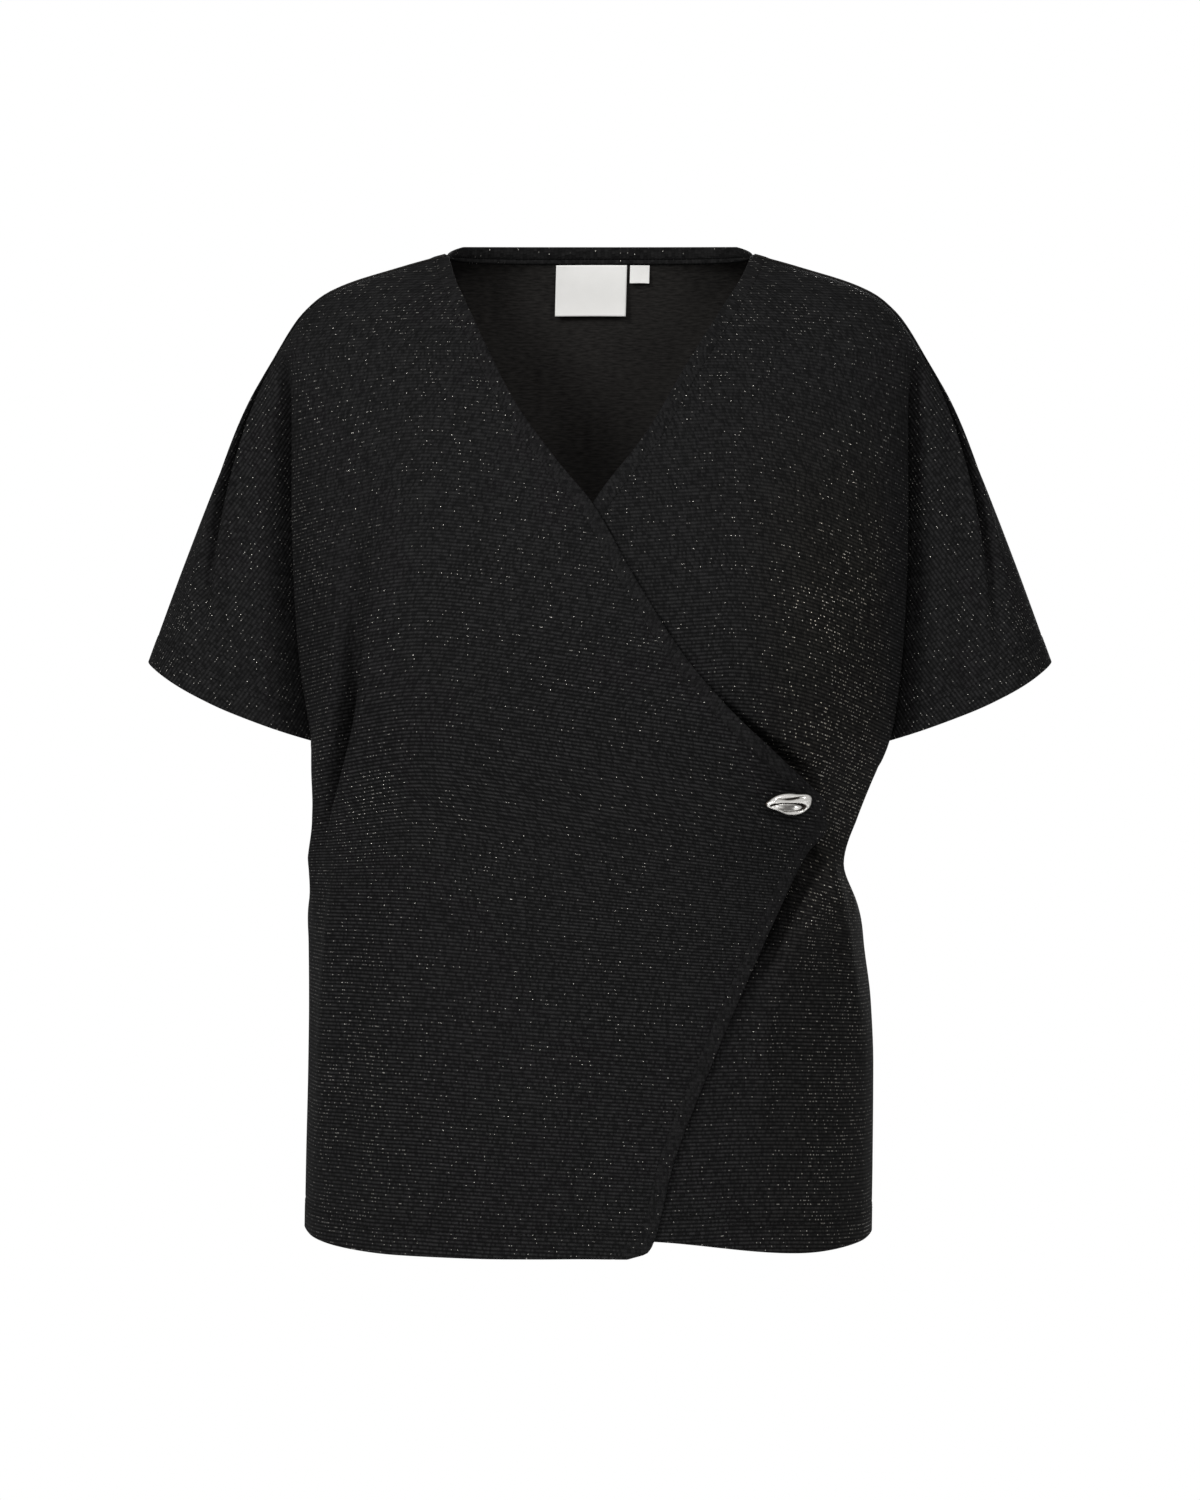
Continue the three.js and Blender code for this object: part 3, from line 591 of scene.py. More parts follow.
def knit_uv(kind, points, levels, valley, side, face):
    """Place in the knit, in millimetres along the rib and across it. On the body the ribs follow the
    levels by the length of the profile, tilted as the cloth hangs. On the sleeve they fan round the
    underarm until they lie along the sleeve."""
    x, z = points[..., 0], points[..., 2]
    step_out = 1 if PANELS[kind]["edge"] is None else side
    run = np.linalg.norm(np.diff(points, axis=1), axis=-1)
    u = np.concatenate([np.zeros((len(levels), 1)), np.cumsum(run, 1)], 1)
    u = (u - u[:, valley : valley + 1]) * side * face
    grid = np.linspace(0, HEM + 20, 400)
    slope = np.sqrt(1 + np.gradient(depth(face, grid), grid) ** 2)
    profile = np.concatenate([[0], np.cumsum(slope[1:] * np.diff(grid))])
    v = -np.interp(-z, grid, profile)
    fall = levels[:, None]
    # The ribs' tilt: the outer front's bends by a hyperbola beside the drape, the inner front's by a
    # parabola towards the side, and the back's hang low in the middle
    if kind == "outer":
        ahead = -0.16 * mix(1.0, 0.45, ease(400, 520, fall)) * mix(1, 0.6, ease(560, 680, fall))
        behind = 0.22 * (1 - ease(380, 460, fall))
        past = x + 125
        bend = (ahead + behind) / 2 * past + (ahead - behind) / 2 * np.sqrt(past**2 + 25**2)
        v = v - ease(20, 160, fall) * bend
    elif kind == "inner":
        amount = mix(1, 0.25, ease(420, 520, fall))
        beyond = np.maximum(x - 85, 0)
        bent = np.where(beyond < 80, 0.0026 * beyond**2, 0.0026 * 6400 + 0.4 * (beyond - 80))
        v = v + amount * ease(20, 160, fall) * (bent - 0.07 * np.minimum(x - 85, 0))
    else:
        v = v + 0.0006 * x**2 * ease(30, 200, fall)
    out, up = side * x - SLEEVE_PIVOT, z + SHOULDER_FOLD
    across = math.sin(SLEEVE_LEAN) * out + math.cos(SLEEVE_LEAN) * up
    along = math.cos(SLEEVE_LEAN) * out - math.sin(SLEEVE_LEAN) * up
    turned = run - np.hypot(np.diff(x, axis=1), np.diff(z, axis=1))
    turned = np.concatenate([np.zeros((len(levels), 1)), np.cumsum(turned, 1)], 1)
    across = across + turned - turned[:, valley : valley + 1]
    sleeve = np.stack([along, across - np.interp(SHOULDER_FOLD, grid, profile)], -1)
    return np.stack([u * step_out, v], -1), sleeve


class Shell:
    """A cloth piece before it is a mesh: points, outward directions, which points exist, places in
    the knit for the body and the sleeve, the way its faces turn, and distances to its edges."""

    def __init__(self, points, normals, exists, sleeve, uv, sleeve_uv, turn):
        self.points, self.normals, self.exists = points, normals, exists
        self.sleeve, self.uv, self.sleeve_uv, self.turn = sleeve, uv, sleeve_uv, turn
        self.levels = -points[:, 0, 2]
        self.edges = {}

    def measure(self, name, line):
        flat = distance_to(self.points.reshape(-1, 3), line)
        self.edges[name] = flat.reshape(self.points.shape[:2])


def front_shell(kind, levels, strength=1.0, counts=(130, 12, 62)):
    points, exists, valley = panel_grid(kind, levels, *counts, strength)
    side, face = PANELS[kind]["side"], PANELS[kind]["face"]
    normals = shell_normals(points, levels, valley, side, face)
    uv, sleeve_uv = knit_uv(kind, points, levels, valley, side, face)
    sleeve = np.broadcast_to(np.arange(points.shape[1]) >= valley, points.shape[:2])
    shell = Shell(points, normals, exists, sleeve, uv, sleeve_uv, side * face)
    cuff = cuff_row(levels)
    shell.measure("free", points[:, 0])
    shell.measure("hem", points[-1, : valley + 1])
    shell.measure("cuff", points[cuff, valley:])
    shell.measure("seam", np.concatenate([points[: cuff + 1, -1], points[cuff:, valley][1:]]))
    shell.cuff, shell.valley, shell.face, shell.side = cuff, valley, face, side
    return shell


def back_shell(levels, strength=1.0, counts=(62, 10, 46)):
    """Both halves side by side, from the wearer's right to the left."""
    right, right_exists, valley = panel_grid("backRight", levels, *counts, strength)
    left, left_exists, valley = panel_grid("backLeft", levels, *counts, strength)
    parts = []
    for kind, own, other, exists in (
        ("backRight", right, left, right_exists),
        ("backLeft", left, right, left_exists),
    ):
        side = PANELS[kind]["side"]
        before = own[:, :1] - other[:, 1:2]
        normals = shell_normals(own, levels, valley, side, BACK, before)
        uv, sleeve_uv = knit_uv(kind, own, levels, valley, side, BACK)
        uv[..., 0] -= uv[:, :1, 0]
        parts.append((own, normals, exists, uv, sleeve_uv))
    joined = [np.concatenate([a[:, ::-1], b[:, 1:]], 1) for a, b in zip(*parts)]
    points, normals, exists, uv, sleeve_uv = joined
    middle = right.shape[1] - 1
    sleeve = np.abs(np.arange(points.shape[1]) - middle) >= valley
    sleeve = np.broadcast_to(sleeve, points.shape[:2])
    shell = Shell(points, normals, exists, sleeve, uv, sleeve_uv, BACK)
    cuff = cuff_row(levels)
    shell.measure("free", np.zeros((0, 3)))
    shell.measure("hem", points[-1, middle - valley : middle + valley + 1])
    cuffs = [points[cuff, : middle - valley + 1], points[cuff, middle + valley :]]
    near = [distance_to(points.reshape(-1, 3), line) for line in cuffs]
    shell.edges["cuff"] = np.minimum(*near).reshape(points.shape[:2])
    seams = []
    for end, inner in ((0, middle - valley), (-1, middle + valley)):
        line = np.concatenate([points[: cuff + 1, end], points[cuff:, inner][1:]])
        seams.append(distance_to(points.reshape(-1, 3), line))
    shell.edges["seam"] = np.minimum(*seams).reshape(points.shape[:2])
    shell.cuff, shell.valley, shell.face, shell.side = cuff, valley, BACK, LEFT
    shell.middle = middle
    return shell


SEWN_GROOVE, ROW_GROOVE = 0.35, 0.6  # depth under a row of stitches, and the first hem row's share
SEAM_GROOVE, SEAM_WIDE = 0.7, 2.4


def turned_edge(distance, depth):
    """1 on the doubled part of a turned edge, and the groove of its stitches."""
    return 1 - ease(depth - 0.7, depth + 0.7, distance), hump(depth, 0.9, distance)


def layer_heights(shell):
    """Height of the right side above the surface, and depth of the wrong side below it."""
    free, free_groove = turned_edge(shell.edges["free"], EDGE_TURN)
    hem, hem_groove = turned_edge(shell.edges["hem"], HEM_TURN)
    cuff, cuff_groove = turned_edge(shell.edges["cuff"], HEM_TURN)
    first_rows = sum(hump(HEM_ROWS[0], 0.8, shell.edges[name]) for name in ("hem", "cuff"))
    doubled = np.maximum(free, np.maximum(hem, cuff))
    groove = np.maximum(free_groove, np.maximum(hem_groove, cuff_groove)) + ROW_GROOVE * first_rows
    seam = 1 - ease(0, SEAM_WIDE, shell.edges["seam"])
    out = TURN_PROUD * doubled - SEWN_GROOVE * groove - SEAM_GROOVE * seam
    inside = CLOTH_THICK + TURN_THICK * doubled * (1 - seam)
    return out, inside


# The high share of glints, on cloth turned sideways or up, and the golden side's extra glints are
# painted highlight where the lights catch the glitter
GLINT_LOW, GLINT_HIGHLIGHT = 0.03, 0.13  # share of the knit's cells that hold a glint
GLINT_SLEEVE, GLINT_WARM_HIGHLIGHT = 0.03, 0.08  # what the sleeves and the golden side add to it


def cloth_values(shell, place, normal, on_sleeve, doubled):
    """Values for the knit's material at each vertex: the share of glints, which grows where the cloth
    turns sideways or up, a painted highlight where the lights catch the glitter; the golden tinge of
    the wearer's left side, which also paints shade between its ribs and highlight as more glints;
    and how clear the ribs are, which grows down the body and is low on turned edges."""
    x, down = place[:, 0], -place[:, 2]
    # Painted highlight: more glints where the cloth turns sideways or up, where the lights catch the
    # glitter
    turned = np.maximum(np.abs(normal[:, 0]), 0.95 * normal[:, 2])
    glint = mix(GLINT_LOW, GLINT_HIGHLIGHT, ease(0.3, 0.75, turned)) + GLINT_SLEEVE * on_sleeve
    # The golden side: a warm tint, with painted shade as a darker base between its ribs and painted
    # highlight as more and larger glints
    warm_tint_and_painted_light = np.zeros(len(place))
    if shell.face == FRONT and shell.side == LEFT:
        warm_tint_and_painted_light = ease(80, 150, x) * ease(80, 230, down) * (1 - 0.6 * ease(400, 520, down))
        warm_tint_and_painted_light = warm_tint_and_painted_light * (1 - ease(185, 206, x))
    ribs = mix(0.34, 0.82, ease(110, 350, down)) * mix(1, 0.35, doubled)
    return {
        "glint": glint + GLINT_WARM_HIGHLIGHT * warm_tint_and_painted_light**2,
        "warm_tint_and_painted_light": warm_tint_and_painted_light,
        "ribs": np.where(on_sleeve, 0.5, ribs),
    }


def shell_mesh(name, shell):
    """A closed wall from a shell, and the area of its surface: the right side, the wrong side, and a
    rounded strip along every edge, whose rings stand on a half circle between the two sides."""
    out, inside = layer_heights(shell)
    rows, wide = shell.points.shape[:2]
    keep = shell.exists.reshape(-1)
    number = np.full(rows * wide, -1)
    number[keep] = np.arange(keep.sum())
    points = shell.points.reshape(-1, 3)[keep]
    normals = shell.normals.reshape(-1, 3)[keep]
    top = points + normals * out.reshape(-1)[keep][:, None]
    bottom = points - normals * inside.reshape(-1)[keep][:, None]
    seam = shell.edges["seam"].reshape(-1)[keep]
    at_seam = seam < 1e-6
    shift = np.zeros_like(points)
    shift[:, 1] = shell.face * SEAM_HALF * at_seam
    top, bottom = top + shift, bottom + shift

    ids = number.reshape(rows, wide)
    a, b, d, e = ids[:-1, :-1], ids[:-1, 1:], ids[1:, :-1], ids[1:, 1:]
    whole = (a >= 0) & (b >= 0) & (d >= 0) & (e >= 0)
    order = (a, b, e, d) if shell.turn > 0 else (a, d, e, b)
    quads = np.stack([corner[whole] for corner in order], 1)
    on_sleeve = (shell.sleeve[:-1, :-1] & shell.sleeve[:-1, 1:])[whole]

    count = len(points)
    starts, ends = quads.reshape(-1), np.roll(quads, -1, 1).reshape(-1)
    rim = ~np.isin(ends * count + starts, starts * count + ends)
    p, q = starts[rim], ends[rim]
    rim_sleeve = np.repeat(on_sleeve, 4)[rim]
    outward = np.zeros_like(points)
    for end in (p, q):
        np.add.at(outward, end, unit(np.cross(points[q] - points[p], normals[p])))
    outward = unit(outward - normals * (outward * normals).sum(1, keepdims=True))
    rimmed = np.unique(p)
    slot = np.full(count, -1)
    slot[rimmed] = np.arange(len(rimmed))
    half = np.linalg.norm(top[rimmed] - bottom[rimmed], axis=1, keepdims=True) / 2
    bulge = np.where(at_seam[rimmed], 0.0, 0.75)[:, None] * half
    rings = []
    for share in RING:
        turn = math.pi * share
        between = mix(top[rimmed], bottom[rimmed], (1 - math.cos(turn)) / 2)
        rings.append(between + outward[rimmed] * bulge * math.sin(turn))
    vertices = np.concatenate([top, bottom, *rings])
    faces = [quads, count + quads[:, ::-1]]
    chain = [p, *(2 * count + k * len(rimmed) + slot[p] for k in range(len(RING))), count + p]
    follow = [q, *(2 * count + k * len(rimmed) + slot[q] for k in range(len(RING))), count + q]
    for k in range(len(RING) + 1):
        faces.append(np.stack([follow[k], chain[k], chain[k + 1], follow[k + 1]], 1))
    faces = np.concatenate(faces)
    sleeve_faces = np.concatenate([on_sleeve, on_sleeve] + [rim_sleeve] * (len(RING) + 1))
    source = np.concatenate([np.arange(count), np.arange(count), *[rimmed] * len(RING)])
    wrong = np.zeros(len(faces), int)
    wrong[len(quads) : 2 * len(quads)] = 1
    body_uv = shell.uv.reshape(-1, 2)[keep][source]
    arm_uv = shell.sleeve_uv.reshape(-1, 2)[keep][source]
    corners = faces.reshape(-1)
    uv = np.where(np.repeat(sleeve_faces, 4)[:, None], arm_uv[corners], body_uv[corners])
    doubled = turned_edge(shell.edges["free"], EDGE_TURN)[0].reshape(-1)[keep][source]
    sleeve = shell.sleeve.reshape(-1)[keep][source]
    values = cloth_values(shell, points[source], normals[source], sleeve, doubled)
    obj = mesh_object(name, vertices, faces, uv, values, wrong)
    return obj, float(surface_area(points, quads))


def surface_area(points, quads):
    """Area in square metres: half the cross product of each face's diagonals."""
    a, b, c, d = (points[quads[:, i]] for i in range(4))
    return np.linalg.norm(np.cross(c - a, d - b), axis=1).sum() / 2 * MM**2


def ring_faces(count, wide):
    """Faces between rings of points that follow each other, each ring closed on itself."""
    i, j = np.arange(count - 1)[:, None] * wide, np.arange(wide)[None]
    k = (j + 1) % wide
    corners = (i + j, i + wide + j, i + wide + k, i + k)
    return np.stack(np.broadcast_arrays(*corners), -1).reshape(-1, 4)


def mesh_object(name, vertices, faces, uv=None, attributes=None, material_index=None, smooth=True):
    """A mesh in metres from arrays: vertices in millimetres, faces that all have the same number of
    corners, a place in the cloth for each corner, and values for each vertex."""
    mesh = bpy.data.meshes.new(name)
    mesh.vertices.add(len(vertices))
    mesh.vertices.foreach_set("co", (vertices * MM).astype(np.float32).reshape(-1))
    width = faces.shape[1]
    mesh.loops.add(faces.size)
    mesh.polygons.add(len(faces))
    mesh.polygons.foreach_set("loop_start", np.arange(0, faces.size, width, dtype=np.int32))
    mesh.polygons.foreach_set("vertices", faces.astype(np.int32).reshape(-1))
    if material_index is not None:
        mesh.polygons.foreach_set("material_index", material_index.astype(np.int32))
    mesh.update(calc_edges=True)
    mesh.polygons.foreach_set("use_smooth", np.full(len(faces), smooth))
    if uv is not None:
        layer = mesh.uv_layers.new(name="cloth")
        layer.uv.foreach_set("vector", uv.astype(np.float32).reshape(-1))
    for key, values in (attributes or {}).items():
        layer = mesh.attributes.new(key, "FLOAT", "POINT")
        layer.data.foreach_set("value", values.astype(np.float32))
    mesh.validate()
    obj = bpy.data.objects.new(name, mesh)
    bpy.context.scene.collection.objects.link(obj)
    return obj


def finish_piece(obj, node, slot, *materials):
    """Gives a piece its materials and its body, and hides the solid that it replaces. Its slot is not
    used.
    """
    for material in materials:
        obj.data.materials.append(material)
    if node:
        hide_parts(node)
    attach(obj, "root")
    return obj


# Sewing: small stitches along lines on the cloth


def level_line(values, level, *fields):
    """Where each row of values first reaches a level, by straight interpolation: the fields' values
    there, for the rows that reach it."""
    reached = values >= level
    first = reached.argmax(1)
    rows = np.flatnonzero(reached.any(1) & (first > 0))
    column = first[rows]
    low, high = values[rows, column - 1], values[rows, column]
    t = ((level - low) / np.maximum(high - low, 1e-9))[:, None]
    return [mix(field[rows, column - 1], field[rows, column], t) for field in fields]


def spaced(line, normals, step):
    """Places a fixed distance apart on a line, with the directions along it and out of the cloth."""
    length = np.concatenate([[0], np.cumsum(np.linalg.norm(np.diff(line, axis=0), axis=1))])
    at = np.arange(step / 2, length[-1] - step / 2, step)
    place = np.stack([np.interp(at, length, line[:, i]) for i in range(3)], 1)
    ahead = np.stack([np.interp(at + 0.8, length, line[:, i]) for i in range(3)], 1)
    normal = np.stack([np.interp(at, length, normals[:, i]) for i in range(3)], 1)
    return place, unit(ahead - place), unit(normal)


PLAIN_STITCH = (3.2, 2.4, 0.34)  # the step between stitches, their length and their radius
STITCH_SUNK = 0.05
TURN_ROWS = 24  # rows of the grid in which the hem's rows of stitches lie


def stitches(place, along, normal, length, radius):
    """Capsules, one for each place: rings of points round a line that tapers at both ends."""
    shares = np.array([-1, -0.8, 0, 0.8, 1])
    swell = np.array([0.25, 0.85, 1, 0.85, 0.25]) * radius
    around = np.arange(6) * math.pi / 3
    side = unit(np.cross(along, normal))
    ring = np.cos(around)[None, None, :, None] * side[:, None, None]
    ring = ring + np.sin(around)[None, None, :, None] * normal[:, None, None]
    points = place[:, None, None] + along[:, None, None] * (shares * length / 2)[None, :, None, None]
    points = points + ring * swell[None, :, None, None]
    sag = -0.3 * radius * (1 - np.cos(math.pi * shares))
    points = points + normal[:, None, None] * sag[None, :, None, None]
    count, rings, wide = points.shape[:3]
    base = np.arange(count)[:, None, None] * rings * wide
    r, w = np.arange(rings - 1)[None, :, None] * wide, np.arange(wide)[None, None, :]
    nxt = (w + 1) % wide
    corners = (base + r + w, base + r + wide + w, base + r + wide + nxt, base + r + nxt)
    sides = np.stack(np.broadcast_arrays(*corners), -1)
    ends = []
    for ring_start, turn in ((0, 1), ((rings - 1) * wide, -1)):
        start = np.arange(count) * rings * wide + ring_start
        ends.append(np.stack([start + i for i in (0, 1, 2, 3)][::turn], 1))
        ends.append(np.stack([start + i for i in (0, 3, 4, 5)][::turn], 1))
    return points.reshape(-1, 3), np.concatenate([sides.reshape(-1, 4), *ends])


def seam_stitches(shells, band_rows):
    """Every visible row: the band's, which are handed in and of which the one at its foot paints the
    band's shadow, the one along the wrap edges and neckline, and the two at the hem and at the cuffs."""
    runs = list(band_rows)
    for shell in shells:
        out = layer_heights(shell)[0][..., None]
        lifted = shell.points + shell.normals * (out - STITCH_SUNK)
        if shell.edges["free"].min() < 1:
            # From just below the shoulder seam to just above the hem's turning
            rows = slice(4, int(np.searchsorted(shell.levels, HEM - 22)))
            found = level_line(shell.edges["free"][rows], EDGE_TURN, lifted[rows], shell.normals[rows])
            runs.append((*found, *PLAIN_STITCH))
        for distance in HEM_ROWS:
            tail = slice(-TURN_ROWS, None)
            hem = shell.edges["hem"][tail][::-1].T
            fields = [np.swapaxes(f[tail][::-1], 0, 1) for f in (lifted, shell.normals)]
            columns_kept = shell.exists[-1] & (shell.edges["free"][-12] > EDGE_TURN + 1)
            found = level_line(hem[columns_kept], distance, *[f[columns_kept] for f in fields])
            runs.append((*found, *PLAIN_STITCH))
            near = slice(shell.cuff - TURN_ROWS + 2, shell.cuff + 1)
            cuff = shell.edges["cuff"][near][::-1].T
            fields = [np.swapaxes(f[near][::-1], 0, 1) for f in (lifted, shell.normals)]
            sleeves = [slice(shell.valley + 1, None)]
            if shell.face == BACK:
                right = slice(0, shell.middle - shell.valley)
                sleeves = [right, slice(shell.middle + shell.valley + 1, None)]
            for part in sleeves:
                found = level_line(cuff[part], distance, *[f[part] for f in fields])
                runs.append((*found, *PLAIN_STITCH))
    points, faces, total = [], [], 0
    for line, normals, step, length, radius in runs:
        if len(line) < 3:
            continue
        made, quads = stitches(*spaced(line, normals, step), length, radius)
        points.append(made)
        faces.append(quads + total)
        total += len(made)
    return np.concatenate(points), np.concatenate(faces)


# Neck band and labels

BAND_THICK = 2.4
BAND_END = 2.2  # level of its top at the shoulder seams
BAND_RISE = 7.5  # how far it rises from there to the middle of the back
BAND_REACH = math.radians(86)  # where it ends, as an angle out from the middle of the back
BAND_ROUND = math.radians(20)  # the part before its end in which its top comes down
BAND_SEAT = 0.35  # how far the band is pressed on to the back's edge
BAND_LEAN = 0.12  # how far its sides lean in for each millimetre of height
# One side of its section, from the foot up: share of the height, and how far it stands proud
BAND_SECTION = ((0.0, 0), (0.06, 0.1), (0.22, -0.1), (0.3, -0.7), (0.38, -0.05), (0.6, 0))
BAND_KNIT = {"glint": 0.05, "warm_tint_and_painted_light": 0.15, "ribs": 0.12}
# Its rows of stitches: share of the height, distance out of the middle, and the way they face.
# The last, at the foot, is a dark row that paints the shadow under the band's edge.
BAND_ROWS_WITH_SHADOW = ((0.3, -0.2, 1), (0.3, -1.75, -1), (0.0, -2.0, -1))
BAND_STITCH = (2.7, 2.6, 0.55)
SEAM_GAP = 0.3
SOLID_CLOTH = 1.5  # thickness of the cloth in the solids, which the labels hang clear of
LABEL = {"low": -31.5, "high": 19.5, "drop": 33.0, "thick": 0.55, "lean": 2.2, "tilt": 0.03}
SIZE_TAG = {"low": 21.8, "high": 35.8, "drop": 11.5, "thick": 0.5, "lean": 1.0, "tilt": 0.03}


def band_rows(angle):
    """The band's foot, outward direction, and lower and upper levels at each angle."""
    kind = np.where(angle < 0, RIGHT, LEFT)
    foot = np.where(
        (kind < 0)[:, None],
        body_point("backRight", np.abs(angle), np.full_like(angle, NECK), 0),
        body_point("backLeft", np.abs(angle), np.full_like(angle, NECK), 0),
    )
    normal = body_normal(BACK, angle, np.full_like(angle, NECK + 12))
    normal[:, 2] = 0
    share = np.clip(foot[:, 1] / depth(BACK, NECK), 0, 1)
    rounded = np.sqrt(np.clip((BAND_REACH - np.abs(angle)) / BAND_ROUND, 0, 1))
    bottom = foot[:, 2] - BAND_SEAT
    top = mix(bottom + 2, BAND_END + BAND_RISE * share, rounded)
    return foot, unit(normal), bottom, top


def neck_band_mesh():
    """A closed section swept along the back's top edge: flat sides that lean in, a rounded fold at
    the top, and a groove with a stitched ridge near the foot."""
    angle = mix(-BAND_REACH, BAND_REACH, np.linspace(0, 1, 181))
    foot, normal, bottom, top = band_rows(angle)
    half = BAND_THICK / 2 - 0.15
    turn = np.linspace(0, math.pi, 9)
    # The section runs from the outer foot over the fold to the inner foot
    outer = [(share, half + proud) for share, proud in BAND_SECTION]
    fold = [(0.8 + 0.2 * math.sin(t), half * math.cos(t)) for t in turn]
    inner = [(share, -off) for share, off in reversed(outer)]
    share, off = np.array(outer + fold + inner).T
    z = mix(bottom[:, None], top[:, None], share[None])
    lean = -BAND_LEAN * (z - bottom[:, None]) + 0.4 - BAND_THICK / 2
    points = foot[:, None] + normal[:, None] * (lean + off[None])[..., None]
    points[..., 2] = z
    count, wide = z.shape
    faces = ring_faces(count, wide)
    length = np.concatenate([[0], np.cumsum(np.linalg.norm(np.diff(foot, axis=0), axis=1))])
    girth = np.concatenate([[0], np.cumsum(np.hypot(np.diff(off), 8 * np.diff(share)))])
    uv = np.stack(np.broadcast_arrays(girth[None], length[:, None]), -1).reshape(-1, 2)
    caps = []
    for start, flip in ((0, False), ((count - 1) * wide, True)):
        ring = start + np.arange(wide)
        halfway = wide // 2
        near, far = ring[:halfway], ring[::-1][:halfway]
        cap = np.stack([near[:-1], near[1:], far[1:], far[:-1]], 1)
        caps.append(cap[:, ::-1] if flip else cap)
    faces = np.concatenate([faces, *caps])
    values = {name: np.full(count * wide, value) for name, value in BAND_KNIT.items()}
    return mesh_object("neck_band_knit", points.reshape(-1, 3), faces, uv[faces.reshape(-1)], values)


def label_mesh(name, size):
    """A woven label that hangs inside the back: a thin wall that leans away from the cloth, curls a
    little at its foot, and waves slightly across."""
    rows, wide = 41, 41
    r, c = np.linspace(0, 1, rows)[:, None], np.linspace(0, 1, wide)[None]
    down = NECK + 0.5 + size["drop"] * r + 0 * c
    x = mix(size["low"], size["high"], c) - size["tilt"] * (down - NECK)
    side = np.where(x < 0, RIGHT, LEFT)
    angle = np.arcsin(np.abs(x) / half_width(side, down))
    wall = np.where(
        (x < 0)[..., None],
        body_point("backRight", angle, down, 0),
        body_point("backLeft", angle, down, 0),
    )
    normal = body_normal(BACK, angle * side, down)
    wave = 0.25 * r * np.sin(2 * math.pi * (c + 0.2)) + 0.5 * r**3
    off = SOLID_CLOTH + SEAM_GAP + size["lean"] * r + wave
    far = wall - normal * off[..., None]
    near = far - normal * size["thick"]
    ids = np.arange(rows * wide).reshape(rows, wide)
    a, b, d, e = ids[:-1, :-1], ids[:-1, 1:], ids[1:, :-1], ids[1:, 1:]
    quads = np.stack([a, d, e, b], -1).reshape(-1, 4)
    count = rows * wide
    edge = np.concatenate([ids[0, :-1], ids[:-1, -1], ids[-1, :0:-1], ids[:0:-1, 0]])
    after = np.roll(edge, -1)
    rim = np.stack([edge, after, count + after, count + edge], 1)
    faces = np.concatenate([quads, count + quads[:, ::-1], rim])
    points = np.concatenate([near.reshape(-1, 3), far.reshape(-1, 3)])
    place = np.broadcast_arrays((size["high"] - size["low"]) * c, size["drop"] * r)
    one = np.stack(place, -1).reshape(-1, 2)
    uv = np.concatenate([one, one])[faces.reshape(-1)]
    return mesh_object(name, points, faces, uv)


# Button

BUTTON = {"x": 122.5, "down": 385.0, "length": 36.0, "height": 15.5, "thick": 7.0}
BUTTON_BACK = 0.35  # share of its thickness that lies behind its middle
SHANK_LENGTH = 2.6


def button_place():
    """The point of the outer front that the button is sewn on, and the directions along the button,
    up it and out of the cloth."""
    down = np.array(BUTTON["down"])
    angle = np.array(math.asin(BUTTON["x"] / float(half_width(np.array(LEFT), down))))
    point = body_point("outer", -angle, down, 0)
    normal = body_normal(FRONT, angle, down)
    up = unit(np.array([0, 0, 1]) - normal * normal[2])
    along = unit(np.cross(up, normal))
    return point, along, up, normal


# The button's outline seen from the front: its reach in every direction against a plain oval
BUTTON_OUTLINE = columns(
    "turn reach",
    (-173, 1.0), (-155, 0.89), (-138, 0.77), (-120, 0.75), (-104, 0.86), (-87, 0.98), (-67, 1.05),
    (-48, 1.02), (-32, 0.97), (-8, 0.98), (16.5, 1.04), (27, 1.14), (37, 1.21), (48.5, 1.25),
    (55, 1.12), (68.7, 0.98), (85, 0.99), (102.7, 1.0), (117, 0.98), (132, 0.96), (153, 0.93),
    (174, 0.97),
)


def button_relief(px, py, radius):
    """Height of the button's worn casting in millimetres: a raised rim, a crest that winds along
    it, a groove on each side of the crest, and two lumps in the lower hollow."""
    crest = 0.24 + 0.1 * np.sin(2.6 * px - 0.9) + 0.16 * px * px
    inside = ease(0.95, 0.75, radius)
    rim = 0.75 * hump(0.84, 0.1, radius)
    ridge = 0.9 * hump(0, 0.15, py - crest) * ease(0.95, 0.7, np.abs(px + 0.1))
    upper = 1.2 * hump(0, 0.1, py - crest - 0.32) * hump(0.1, 0.5, px)
    oval = np.hypot((px + 0.08) / 0.76, (py + 0.24) / 0.37)
    groove = 1.5 * hump(1, 0.17, oval) * mix(0.45, 1, ease(-0.5, 0, py + 0.2))
    bowl = 0.9 * (1 - ease(0.5, 1.0, oval))
    lumps = 1.2 * hump(-0.5, 0.17, px) * hump(-0.2, 0.14, py)
    lumps = lumps + 1.3 * hump(0.36, 0.15, px) * hump(-0.3, 0.15, py)
    height = rim + inside * (ridge + lumps - upper - groove - bowl)
    dark = inside * (upper + groove + 0.75 * bowl - 0.5 * ridge - 1.1 * lumps) - 0.2 * rim
    return height, np.clip(dark, 0, 1)


